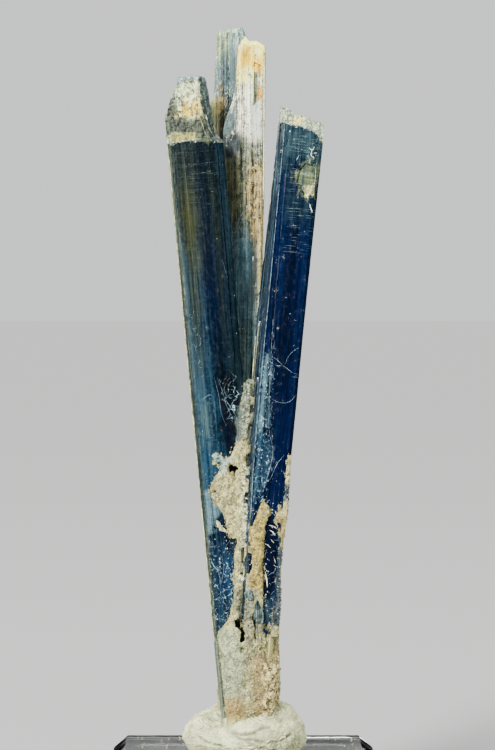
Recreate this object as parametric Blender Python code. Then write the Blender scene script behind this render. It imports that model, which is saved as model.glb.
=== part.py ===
"""Kyanite blade cluster on its display stand.

Four flat crystal blades stand on one foot and fan out upwards. A granular quartz crust binds
them low down and runs up the seam between them. The foot is pressed into a ball of putty, and
the putty sits on a clear acrylic block.

Frame: metres, +Z up, origin in the middle of the block's underside, show side towards -Y.
The sizes below are millimetres, which mesh_object turns into metres. Each blade is modelled in
its own frame: x across the width, y through the thickness with the front at -y, and z along
the blade from its foot.
"""

import math
import random

import bmesh
import bpy
from mathutils import Euler, Matrix, Vector, noise

MM = 0.001
GAP = 0.3  # clearance that touching pieces keep

# Display block: a square slab with its top edges cut at 45 degrees.
BLOCK_SIDE = 57.2
BLOCK_HEIGHT = 12.7
BLOCK_CHAMFER = 3.2

# Putty: a squashed ball, flat below, higher at the back and the right than at the front.
PUTTY_CENTRE = (0.1, 0.1)
PUTTY_RADIUS = (12.7, 12.8)
PUTTY_WAIST = 16.8  # height of the widest ring
PUTTY_CROWN = 22.6
PUTTY_CROWN_RIGHT = 1.3
PUTTY_CROWN_BACK = 1.7
PUTTY_UNDERSIDE = 5.6  # how far the ball would reach below its waist if the block didn't stop it
PUTTY_SIDES = 36
PUTTY_RINGS = 14

# Blades: foot (x, y, z), lean to the right and to the front in degrees, and thickness.
LEFT = dict(foot=(0.65, -1.3, 17.0), lean_right=-4.9, lean_front=0.2, thickness=4.6)
RIGHT = dict(foot=(0.1, -6.1, 17.0), lean_right=5.35, lean_front=1.2, thickness=4.4)
PALE = dict(foot=(-1.0, 3.3, 18.0), lean_right=0.6, lean_front=-0.5, thickness=4.0)
BACK = dict(foot=(0.1, 7.0, 18.0), lean_right=-0.9, lean_front=-0.9, thickness=2.8)

# Blade edges as (z along the blade, x of the edge); straight lines join the points.
LEFT_EDGES = [(0, -5.0), (130, -6.05)], [(0, 5.0), (78, 5.8), (130, 6.0)]
RIGHT_EDGES = ([(0, -3.0), (33, -4.0), (44, -4.4), (60, -5.1), (91, -5.5), (123, -4.85)],
               [(0, 4.4), (95, 4.5), (128, 4.9)])
PALE_EDGES = [(0, -3.4), (60, -4.3), (125, -4.5)], [(0, 3.9), (125, 4.45)]
BACK_EDGES = [(0, -4.2), (134, -4.3), (148, -3.5)], [(0, 4.0), (120, 4.2), (148, 3.1)]

# The right blade's front starts at a ridge, and a rough band lies to the right of it: the
# ridge, the band's other edge, and how deep the band lies.
RIGHT_RIDGE = [(0, -1.5), (33, -2.3), (60, -3.3), (130, -3.4)]
BAND_EDGE = [(0, -0.8), (52, -0.8), (60, 0.55), (66, -0.8), (88, -2.0), (130, -2.6)]
BAND_DEPTH = [(0, 0.3), (80, 0.3), (92, 0.08), (130, 0.08)]

# Broken ends: the outline (x, z) that the surface follows at each y, from front to back.
LEFT_STEP = [(-7, 125.1), (0.2, 125.2), (4.0, 125.1), (5.8, 124.5), (7, 124.4)]
LEFT_LEDGE = [(-7, 126.8), (0.3, 127.0), (3.9, 125.7), (7, 124.4)]
LEFT_TERRACE = [(-7, 129.0), (-5.5, 132.2), (-4.0, 134.5), (-0.1, 135.5), (1.7, 135.6),
                (2.2, 129.2), (3.8, 125.8), (7, 124.4)]
LEFT_UPPER = [(-7, 128.5), (-6.0, 129.8), (-4.3, 135.0), (-2.6, 136.3), (-0.8, 137.4),
              (1.9, 138.4), (2.5, 133.0), (3.9, 126.3), (7, 124.4)]
LEFT_CREST = [(-7, 128.0), (-6.0, 129.8), (-4.9, 133.5), (-4.2, 135.5), (-3.1, 136.6),
              (-2.7, 139.1), (0.4, 139.5), (2.0, 139.2), (3.0, 135.0), (4.1, 127.0), (7, 124.4)]
LEFT_SKYLINE = [(-7, 127.5), (-6.0, 129.8), (-4.9, 133.5), (-4.2, 135.5), (-3.1, 136.6),
                (-2.7, 139.1), (0.4, 139.5), (2.7, 139.2), (3.5, 138.4), (3.9, 134.0),
                (4.3, 127.0), (5.1, 124.6), (7, 124.3)]
LEFT_END = [(-2.6, LEFT_STEP), (-2.0, LEFT_STEP), (-1.2, LEFT_LEDGE), (-0.8, LEFT_TERRACE),
            (-0.1, LEFT_TERRACE), (0.1, LEFT_UPPER), (0.8, LEFT_UPPER), (1.0, LEFT_CREST),
            (1.9, LEFT_SKYLINE), (2.6, LEFT_SKYLINE)]

RIGHT_BRINK = [(-7, 128.8), (-3.5, 128.6), (-0.3, 128.2), (1.9, 127.8), (3.6, 126.9), (6, 125.5)]
RIGHT_SLOPE = [(-7, 130.2), (-3.6, 130.2), (-1.7, 129.4), (1.1, 129.2), (3.6, 128.2), (6, 126.6)]
RIGHT_SKYLINE = [(-7, 132.2), (-3.3, 132.4), (-1.7, 131.1), (1.1, 130.7), (2.0, 130.0),
                 (3.7, 130.0), (4.7, 129.0), (6, 127.0)]
RIGHT_END = [(-2.5, RIGHT_BRINK), (-1.8, RIGHT_BRINK), (-0.7, RIGHT_SLOPE), (0.3, RIGHT_SLOPE),
             (1.0, RIGHT_SKYLINE), (2.5, RIGHT_SKYLINE)]

PALE_SKYLINE = [(-6, 123.0), (-4.5, 124.3), (-4.4, 127.3), (-3.6, 129.9), (-2.4, 133.2),
                (-1.9, 137.0), (-1.9, 143.0), (-1.4, 144.5), (-0.3, 146.5), (0.3, 146.2),
                (0.8, 145.4), (1.9, 145.6), (2.9, 145.1), (4.2, 144.4), (6, 141.5)]
PALE_BROW = [(-6, 122.4), (-4.4, 126.3), (-3.6, 128.9), (-2.4, 132.2), (-1.9, 136.0),
             (-1.8, 141.6), (-1.2, 143.2), (-0.3, 144.8), (0.8, 144.2), (1.9, 144.7),
             (3.9, 142.8), (6, 140.5)]
PALE_END = [(-2.2, PALE_BROW), (-1.4, PALE_BROW), (-0.7, PALE_SKYLINE), (0.9, PALE_SKYLINE),
            (1.3, PALE_BROW), (2.2, PALE_BROW)]

BACK_SKYLINE = [(-6, 146.5), (-3.5, 147.4), (-2.9, 148.1), (-1.0, 148.3), (0.7, 148.6),
                (2.3, 148.7), (2.5, 147.0), (6, 145.6)]
BACK_BROW = [(-6, 145.9), (-3.5, 146.6), (-1.0, 147.6), (1.0, 147.4), (2.5, 146.6), (6, 145.0)]
BACK_END = [(-1.8, BACK_BROW), (-0.9, BACK_BROW), (-0.3, BACK_SKYLINE), (1.8, BACK_SKYLINE)]

FACET = 0.55  # spacing of the broken ends' facets
STOCK = 6.0  # how far a blade is drawn past its highest point before its end is broken off

# Flakes and pits in the blades' fronts, in each blade's own frame.
LEFT_FLAKE_AT, LEFT_FLAKE_RADII = (5.2, -2.6, 70.0), (4.4, 1.5, 9.0)
RIGHT_PIT = [(0.5, 119.4), (1.5, 120.9), (3.6, 120.5), (4.2, 117.6), (3.7, 114.7),
             (1.9, 114.5), (1.5, 116.1), (0.2, 116.9)]
RIGHT_PIT_DEPTH = 0.4
PALE_POCKET = [(1.8, 141.0), (3.4, 140.2), (3.5, 132.9), (2.1, 132.2)]
PALE_POCKET_DEPTH = 0.7

# Crust. The mass round the foot: height, then left, right, front and back limits.
CRUST_FOOT = [
    (19.6, -5.1, 6.4, -9.3, 9.4),
    (22.5, -5.3, 7.1, -9.7, 9.9),
    (26.5, -5.4, 7.8, -9.9, 10.0),
    (31.0, -5.4, 8.3, -9.9, 10.1),
    (35.5, -5.6, 7.3, -9.6, 9.6),
    (38.6, -5.4, 7.2, -9.1, 8.8),
    (44.5, -1.5, 5.2, -8.2, 5.5),
]
CRUST_FOOT_SIDES = 28
CRUST_SQUARENESS = 4.5  # exponent of the mass's outline: 2 is an ellipse
BARE_EDGE = 1.4  # width of the left blade's outer edge that the crust leaves bare
# The wedge in the seam between the left and the right blade: height, then its two sides.
CRUST_SEAM = [(30, -3.0, 4.0), (60, -1.2, 3.0), (80, -1.2, 2.6), (92, 0.5, 1.9)]
SEAM_FRONT, SEAM_BACK = -7.6, -3.0
# Patches on the blades' faces as (x, z) in the blade's own frame.
LEFT_PATCH = [(3.6, 63.2), (2.5, 61.0), (1.3, 58.2), (-0.6, 60.8), (-2.4, 59.6), (-1.0, 56.2),
              (-3.4, 53.0), (-3.3, 51.0), (-1.4, 48.6), (-0.4, 43.6), (0.3, 41.8), (2.9, 42.8),
              (3.5, 32.0), (0.5, 20.0), (5.6, 20.0), (5.6, 66.0)]
RIGHT_STRIP = [(0.9, 49.8), (-1.1, 50.8), (-2.4, 47.1), (-2.4, 42.9), (-2.1, 32.0), (-2.8, 20.0),
               (2.4, 20.0), (1.3, 31.7), (0.5, 38.0), (0.4, 46.3), (1.1, 48.4)]
EDGE_PATCH = [(5.1, 60.2), (4.0, 60.0), (3.5, 55.0), (4.2, 51.5), (2.6, 49.2), (2.4, 46.8),
              (3.2, 43.4), (4.0, 42.0), (3.9, 30.0), (3.4, 22.0), (5.4, 22.0), (5.3, 44.0)]
BACK_SHEET = [(5.1, 60.2), (1.0, 52.0), (0.0, 40.0), (-2.0, 22.0), (5.4, 22.0)]
PATCH_THICKNESS = 1.0
CRUST_VOXEL = 0.6  # facet size while its lumps are made
CRUST_KEPT = 0.24  # share of those facets that its final surface keeps
CRUST_LUMPS = [(3.6, 0.6), (1.5, 0.3)]  # wavelength and height of the crust's lumps
LUMP_SEED = 7
SOCKET_TOP = 30.0
SOCKET_READ_BELOW = 24.5

KYANITE = (0.035, 0.12, 0.28, 1.0)
PALE_KYANITE = (0.55, 0.53, 0.45, 1.0)
GREY_KYANITE = (0.22, 0.32, 0.38, 1.0)
QUARTZ = (0.66, 0.55, 0.42, 1.0)
PUTTY = (0.72, 0.70, 0.62, 1.0)
ACRYLIC = (0.9, 0.95, 0.95, 0.35)


def clear_scene():
    for obj in list(bpy.data.objects):
        bpy.data.objects.remove(obj)


def principled(name, colour, roughness, ior, transmission=0.0):
    made = bpy.data.materials.new(name)
    made.use_nodes = True
    shader = made.node_tree.nodes["Principled BSDF"]
    shader.inputs["Base Color"].default_value = colour
    shader.inputs["Metallic"].default_value = 0.0
    shader.inputs["Roughness"].default_value = roughness
    shader.inputs["IOR"].default_value = ior
    shader.inputs["Transmission Weight"].default_value = transmission
    made.diffuse_color = colour
    return made


def mesh_object(name, points, faces):
    """An object from points in millimetres. Its faces are turned outwards."""
    shape = bmesh.new()
    corners = [shape.verts.new(Vector(point) * MM) for point in points]
    for face in faces:
        shape.faces.new([corners[i] for i in face])
    bmesh.ops.recalc_face_normals(shape, faces=shape.faces)
    mesh = bpy.data.meshes.new(name)
    shape.to_mesh(mesh)
    shape.free()
    made = bpy.data.objects.new(name, mesh)
    bpy.context.scene.collection.objects.link(made)
    return made


def loft(name, rings):
    """A closed solid through rings of equal length, with a flat cap at each end."""
    size = len(rings[0])
    points = [point for ring in rings for point in ring]
    faces = []
    for level in range(len(rings) - 1):
        start = level * size
        for i in range(size):
            j = (i + 1) % size
            faces.append((start + i, start + j, start + size + j, start + size + i))
    faces.append(range(size))
    faces.append(range(len(points) - size, len(points)))
    return mesh_object(name, points, faces)


def plate(name, outline, front, back):
    """A plate whose (x, z) outline is drawn on the plane y = front and carried to y = back."""
    return loft(name, [[(x, y, z) for x, z in outline] for y in (front, back)])


def helper(obj):
    obj.hide_render = True
    obj.display_type = "WIRE"
    return obj


def boolean(obj, tool, operation="DIFFERENCE"):
    step = obj.modifiers.new(tool.name, "BOOLEAN")
    step.operation = operation
    step.solver = "EXACT"
    step.object = helper(tool)


def evaluated_mesh(obj):
    bpy.context.view_layer.update()
    graph = bpy.context.evaluated_depsgraph_get()
    return bpy.data.meshes.new_from_object(obj.evaluated_get(graph))


def line_at(points, along):
    """The value at a place on a line of (place, value) points."""
    before = points[0]
    for after in points:
        if after[0] >= along:
            break
        before = after
    if after[0] <= before[0]:
        return after[1]
    share = min(1.0, (along - before[0]) / (after[0] - before[0]))
    return before[1] + share * (after[1] - before[1])


def lean(obj, blade):
    """Stands a shape drawn in a blade's own frame where that blade stands."""
    obj.location = Vector(blade["foot"]) * MM
    obj.rotation_mode = "ZXY"
    obj.rotation_euler = Euler((math.radians(blade["lean_front"]),
                                math.radians(blade["lean_right"]), 0.0), "ZXY")
    return obj


def edges_at(edges, z):
    return line_at(edges[0], z), line_at(edges[1], z)


def left_section(z):
    """Front face with a bevel at its left, and a lath set back along its right edge."""
    left, right = edges_at(LEFT_EDGES, z)
    face = LEFT["thickness"] / 2
    return [(left, -0.7), (left + 0.9, -face), (right - 1.5, -face), (right - 1.3, -face + 0.45),
            (right, -face + 0.7), (right, face - 0.7), (right - 0.6, face), (left + 2.5, face),
            (left + 2.2, face - 0.5), (left, face - 0.8)]


def right_section(z):
    """Slanted left side in three steps, then the rough band and the front face."""
    left, right = edges_at(RIGHT_EDGES, z)
    face = RIGHT["thickness"] / 2
    ridge, band, depth = (line_at(line, z) for line in (RIGHT_RIDGE, BAND_EDGE, BAND_DEPTH))
    return [(left, face - 0.4), (left + 0.4, 0.6), (left + 0.65, 0.5), (left + 0.95, -0.7),
            (left + 1.2, -0.8), (ridge, -face), (ridge + 0.25, -face + depth),
            (band, -face + depth), (band + 0.2, -face), (right - 0.8, -face),
            (right, -face + 0.8), (right, face - 0.5), (right - 0.5, face), (left + 0.6, face)]


def pale_section(z):
    """Fibrous: ribs of uneven width and height on both faces, and one deeper groove in front."""
    left, right = edges_at(PALE_EDGES, z)
    face = PALE["thickness"] / 2
    draw = random.Random(11)
    ribs = 9
    front, back = [], []
    for i in range(ribs):
        x = left + 0.5 + (right - left - 1.0) * (i + draw.uniform(-0.25, 0.25)) / (ribs - 1)
        groove = 0.45 if 1.0 < x < 2.0 else 0.0
        front.append((x, -face + groove + draw.uniform(0.0, 0.3)))
        back.append((x, face - draw.uniform(0.0, 0.4)))
    return [(left, -0.4)] + front + [(right, -0.9), (right, 0.7)] + back[::-1] + [(left, 0.8)]


def back_section(z):
    """A thin lath with a ragged left edge towards its top."""
    left, right = edges_at(BACK_EDGES, z)
    face = BACK["thickness"] / 2
    ragged = 0.3 * noise.noise(Vector((0.0, 0.0, z / 1.7))) if z > 100 else 0.0
    return [(left + ragged, -0.3), (left + 1.0, -face), (-1.2, -face), (-1.0, -face + 0.3),
            (right - 1.2, -face + 0.3), (right, -0.4), (right, face - 0.5), (right - 0.5, face),
            (left + 0.8, face), (left + ragged, 0.6)]


def crystal(name, blade, section, heights, end, seed, finish):
    """A blade: its sections joined along its length, and its top broken off along the end."""
    top = max(z for _, line in end for _, z in line) + STOCK
    rings = [[(x, y, z) for x, y in section(z)] for z in [*heights, top]]
    made = lean(loft(name, rings), blade)
    made.data.materials.append(finish)
    boolean(made, lean(fracture(name + "_end", end, top + STOCK, seed), blade))
    return made


def fracture(name, rows, top, seed):
    """A block over a blade's end, whose underside runs through the rows in small facets."""
    draw = random.Random(seed)
    low, high = rows[0][1][0][0], rows[0][1][-1][0]
    columns = round((high - low) / FACET)
    points = []
    for y, line in rows:
        for i in range(columns + 1):
            x = low + (high - low) * i / columns
            inside = 0 < i < columns
            shift = draw.uniform(-0.15, 0.15) if inside else 0.0
            points.append((x + shift, y, line_at(line, x + shift) + draw.uniform(-0.18, 0.18)))
    width = columns + 1
    last = (len(rows) - 1) * width
    faces = []
    for row in range(len(rows) - 1):
        for i in range(columns):
            a = row * width + i
            faces += [(a, a + 1, a + width + 1), (a, a + width + 1, a + width)]
    corner = len(points)
    points += [(x, y, top) for y in (rows[0][0], rows[-1][0]) for x in (low, high)]
    faces.append([*range(width), corner + 1, corner])
    faces.append([*range(last, last + width), corner + 3, corner + 2])
    faces.append([*range(0, last + 1, width), corner + 2, corner])
    faces.append([*range(columns, last + width, width), corner + 3, corner + 1])
    faces.append([corner, corner + 1, corner + 3, corner + 2])
    return mesh_object(name, points, faces)


def ellipsoid(name, centre, radii, sides=18, rings=10):
    shape = bmesh.new()
    bmesh.ops.create_uvsphere(shape, u_segments=sides, v_segments=rings, radius=MM)
    bmesh.ops.transform(shape, matrix=Matrix.Translation(Vector(centre) * MM)
                        @ Matrix.Diagonal((*radii, 1.0)), verts=shape.verts)
    mesh = bpy.data.meshes.new(name)
    shape.to_mesh(mesh)
    shape.free()
    made = bpy.data.objects.new(name, mesh)
    bpy.context.scene.collection.objects.link(made)
    return made


def pit(name, blade, outline, depth):
    """A cutter for a shallow pit in a blade's front face."""
    face = -blade["thickness"] / 2
    return lean(plate(name, outline, face - 1.0, face + depth), blade)


def hull(name, points):
    shape = bmesh.new()
    for point in points:
        shape.verts.new(point)
    found = bmesh.ops.convex_hull(shape, input=shape.verts)
    inside = [item for item in found["geom_interior"] if isinstance(item, bmesh.types.BMVert)]
    bmesh.ops.delete(shape, geom=inside, context="VERTS")
    mesh = bpy.data.meshes.new(name)
    shape.to_mesh(mesh)
    shape.free()
    made = bpy.data.objects.new(name, mesh)
    bpy.context.scene.collection.objects.link(made)
    return made


def spread(point):
    """The corners of a square of the clearance round a point."""
    return [Vector(point) + Vector((x, y, 0.0)) * GAP * MM for x in (-1, 1) for y in (-1, 1)]


def clearance(obj, blade):
    """A cutter that holds a blade and the gap round it."""
    points = [corner for vert in obj.data.vertices for corner in spread(vert.co)]
    lowest = min(points, key=lambda point: point.z)
    points += [point - Vector((0, 0, STOCK * MM)) for point in points if point.z < lowest.z + MM]
    return lean(hull(obj.name + "_clearance", points), blade)


def foot_ring(z, left, right, front, back):
    """One level of the mass round the foot, a rounded rectangle."""
    points = []
    for i in range(CRUST_FOOT_SIDES):
        angle = 2 * math.pi * i / CRUST_FOOT_SIDES
        across, through = math.cos(angle), math.sin(angle)
        reach = (abs(across) ** CRUST_SQUARENESS
                 + abs(through) ** CRUST_SQUARENESS) ** (-1 / CRUST_SQUARENESS)
        points.append(((left + right) / 2 + (right - left) / 2 * reach * across,
                       (front + back) / 2 + (back - front) / 2 * reach * through, z))
    return points


def seam_ring(z, left, right):
    return [(left, SEAM_FRONT, z), (right, SEAM_FRONT, z), (right, SEAM_BACK, z),
            (left, SEAM_BACK, z)]


def face_patch(name, blade, outline, side=-1):
    """Crust on one face of a blade, reaching into the blade, which cuts it back later."""
    face = blade["thickness"] / 2
    return lean(plate(name, outline, side * (face + PATCH_THICKNESS), side * (face - 1.0)), blade)


def largest_island(mesh):
    """Drops every loose bit of a mesh but its largest."""
    shape = bmesh.new()
    shape.from_mesh(mesh)
    waiting = set(shape.verts)
    islands = []
    while waiting:
        island, edge = set(), [waiting.pop()]
        while edge:
            vert = edge.pop()
            island.add(vert)
            near = {link.other_vert(vert) for link in vert.link_edges} & waiting
            waiting -= near
            edge += near
        islands.append(island)
    kept = max(islands, key=len)
    bmesh.ops.delete(shape, geom=[v for v in shape.verts if v not in kept], context="VERTS")
    shape.to_mesh(mesh)
    shape.free()


def lumpy(mesh):
    """Moves each point of the crust by smooth noise, to make lumps."""
    noise.seed_set(LUMP_SEED)
    for vert in mesh.vertices:
        place = vert.co / MM
        for wavelength, height in CRUST_LUMPS:
            vert.co += noise.noise_vector(place / wavelength) * height * MM


def one_skin(obj):
    """Gives overlapping forms one closed skin of small facets."""
    remesh = obj.modifiers.new("one skin", "REMESH")
    remesh.mode = "VOXEL"
    remesh.voxel_size = CRUST_VOXEL * MM
    obj.data = evaluated_mesh(obj)
    obj.modifiers.clear()


def quartz_crust(blades, finish):
    forms = [
        loft("crust_foot", [foot_ring(*level) for level in CRUST_FOOT]),
        loft("crust_seam", [seam_ring(*level) for level in CRUST_SEAM]),
        face_patch("crust_left_patch", LEFT, LEFT_PATCH),
        face_patch("crust_right_strip", RIGHT, RIGHT_STRIP),
        face_patch("crust_back_sheet", RIGHT, BACK_SHEET, side=1),
        lean(plate("crust_edge", EDGE_PATCH, -3.0, 3.0), RIGHT),
    ]
    joined = bmesh.new()
    bpy.context.view_layer.update()
    for form in forms:
        mesh = form.data
        mesh.transform(form.matrix_world)
        joined.from_mesh(mesh)
        bpy.data.objects.remove(form)
    mesh = bpy.data.meshes.new("quartz_crust")
    joined.to_mesh(mesh)
    joined.free()
    made = bpy.data.objects.new("quartz_crust", mesh)
    bpy.context.scene.collection.objects.link(made)

    one_skin(made)
    lumpy(made.data)
    fewer = made.modifiers.new("fewer facets", "DECIMATE")
    fewer.ratio = CRUST_KEPT
    outer, _ = edges_at(LEFT_EDGES, 0)
    bare = [(outer - 5, 0.0), (outer + BARE_EDGE, 0.0), (outer + BARE_EDGE - 1, 60.0),
            (outer - 5, 60.0)]
    boolean(made, lean(plate("bare_edge", bare, -12.0, 0.0), LEFT))
    for obj, blade in blades:
        boolean(made, clearance(obj, blade))
    made.data = evaluated_mesh(made)
    made.modifiers.clear()
    largest_island(made.data)
    made.data.materials.append(finish)
    return made


def putty_ball(held, finish):
    """The squashed ball, with a socket for the foot of every piece that it holds."""
    rings = []
    for level in range(1, PUTTY_RINGS):
        tilt = math.pi * (level / PUTTY_RINGS - 0.5)
        ring = []
        for i in range(PUTTY_SIDES):
            angle = 2 * math.pi * i / PUTTY_SIDES
            dents = 1 + 0.035 * math.cos(2 * angle + 0.6) + 0.025 * math.cos(5 * angle + 1.1)
            out = dents * math.cos(tilt) ** 0.7
            crown = (PUTTY_CROWN + PUTTY_CROWN_RIGHT * math.cos(angle)
                     + PUTTY_CROWN_BACK * math.sin(angle))
            height = crown - PUTTY_WAIST if tilt > 0 else PUTTY_UNDERSIDE
            ring.append((PUTTY_CENTRE[0] + PUTTY_RADIUS[0] * out * math.cos(angle),
                         PUTTY_CENTRE[1] + PUTTY_RADIUS[1] * out * math.sin(angle),
                         max(BLOCK_HEIGHT + GAP, PUTTY_WAIST + height * math.sin(tilt))))
        rings.append(ring)
    while rings[1][0][2] == rings[0][0][2]:
        rings.pop(0)
    made = loft("putty", rings)
    points = []
    for obj in held:
        mesh = evaluated_mesh(obj)
        places = [obj.matrix_world @ vert.co for vert in mesh.vertices]
        for place in places:
            if place.z < SOCKET_READ_BELOW * MM:
                points += spread(place)
    lowest = min(points, key=lambda point: point.z)
    points.append(lowest - Vector((0.0, 0.0, GAP * MM)))
    points += [Vector((p.x, p.y, SOCKET_TOP * MM)) for p in points if p.z > 20 * MM]
    boolean(made, hull("putty_socket", points))
    made.data.materials.append(finish)
    return made


def acrylic_block(finish):
    rings = []
    for z, inset in ((0.0, 0.0), (BLOCK_HEIGHT - BLOCK_CHAMFER, 0.0), (BLOCK_HEIGHT, BLOCK_CHAMFER)):
        half = BLOCK_SIDE / 2 - inset
        rings.append([(-half, -half, z), (half, -half, z), (half, half, z), (-half, half, z)])
    made = loft("acrylic_block", rings)
    made.data.materials.append(finish)
    return made


def main():
    clear_scene()
    blue = principled("kyanite", KYANITE, 0.3, 1.72)
    white = principled("pale kyanite", PALE_KYANITE, 0.45, 1.72)
    grey = principled("grey kyanite", GREY_KYANITE, 0.4, 1.72)

    left = crystal("left_blade", LEFT, left_section, [0, 78, 110], LEFT_END, 1, blue)
    right = crystal("right_blade", RIGHT, right_section, [0, 52, 60, 66, 88, 108, 123],
                    RIGHT_END, 2, blue)
    pale = crystal("pale_blade", PALE, pale_section, [0, 90], PALE_END, 3, white)
    back = crystal("back_blade", BACK, back_section, [0, 60, 100, *range(120, 149, 2)],
                   BACK_END, 4, grey)
    boolean(left, lean(ellipsoid("left_flake", LEFT_FLAKE_AT, LEFT_FLAKE_RADII), LEFT))
    boolean(right, pit("right_pit", RIGHT, RIGHT_PIT, RIGHT_PIT_DEPTH))
    boolean(pale, pit("pale_pocket", PALE, PALE_POCKET, PALE_POCKET_DEPTH))

    blades = [(left, LEFT), (right, RIGHT), (pale, PALE), (back, BACK)]
    crust = quartz_crust(blades, principled("quartz", QUARTZ, 0.6, 1.54))
    putty_ball([left, right, pale, back, crust], principled("putty", PUTTY, 0.8, 1.45))
    acrylic_block(principled("acrylic", ACRYLIC, 0.05, 1.49, transmission=1.0))


main()
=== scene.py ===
"""Looks of the kyanite blade cluster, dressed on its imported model.

Four blades of kyanite stand in a quartz crust, held in putty on a clear block. Each blade is
worked in its own frame, in millimetres: x across the width, y through the thickness with the
front at -y, z along the blade. Crust, putty and block are worked in world millimetres.
"""

import math
import random

import bmesh
import bpy
import numpy as np
from mathutils import Euler, Matrix, Vector, noise
from mathutils.bvhtree import BVHTree
from mathutils.kdtree import KDTree


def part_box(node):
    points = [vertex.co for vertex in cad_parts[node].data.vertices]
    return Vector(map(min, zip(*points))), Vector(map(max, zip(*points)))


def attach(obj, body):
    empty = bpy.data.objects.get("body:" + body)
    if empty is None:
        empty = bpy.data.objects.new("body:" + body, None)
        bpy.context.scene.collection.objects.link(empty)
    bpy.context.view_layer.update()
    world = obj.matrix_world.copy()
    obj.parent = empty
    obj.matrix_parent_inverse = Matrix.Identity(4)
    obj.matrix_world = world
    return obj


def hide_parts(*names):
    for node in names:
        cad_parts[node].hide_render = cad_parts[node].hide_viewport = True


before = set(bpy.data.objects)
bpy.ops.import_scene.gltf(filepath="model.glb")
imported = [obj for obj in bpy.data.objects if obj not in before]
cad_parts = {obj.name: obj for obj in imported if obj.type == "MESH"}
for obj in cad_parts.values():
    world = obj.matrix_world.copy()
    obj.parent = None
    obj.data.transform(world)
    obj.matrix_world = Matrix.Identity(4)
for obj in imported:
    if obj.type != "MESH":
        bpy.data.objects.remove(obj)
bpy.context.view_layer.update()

MM = 0.001
IN_MM = Matrix.Scale(1 / MM, 4)  # turns the model's metres into millimetres
FLAT = math.radians(0.4)  # faces that meet at less than this are one face
WELD = 0.002  # the model's points nearer than this are one point
NOISE_SEED = 5

# --------------------------------------------------------------------------- the blades' zones
HALF_WIDTH = 7.0  # more than half of the widest blade
CREST = 150.0  # above every blade's tip
SHARP = math.radians(24)  # an edge sharper than this is nicked, and pale from wear with a painted highlight
EDGE_STEP = 0.25  # between the places taken along such an edge
STRAIGHT = ("stone", "ledge", "side", "facet", "rim_wear_and_highlight", "striae")  # zones that keep their outline
# Zones seen on the show side only.
SHOW_SIDE = ("patch", "chip", "amber", "stain", "stain_right", "stain_low", "lens", "haze", "cloud",
             "ink", "notch", "gap", "band", "bulge", "wedge", "arc", "lower_arc", "crusted")

# Colours are written as a screen shows them: red, green and blue from 0 to 255.
INK = (1, 4, 12)
CRACK = (160, 206, 214)
# A painted glint: the colour of bright specks where small chips catch the light.
GLINT_FLECK = (210, 228, 226)
CRUST_DARK = (71, 69, 52)
CRUST_LIGHT = (180, 174, 112)

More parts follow.
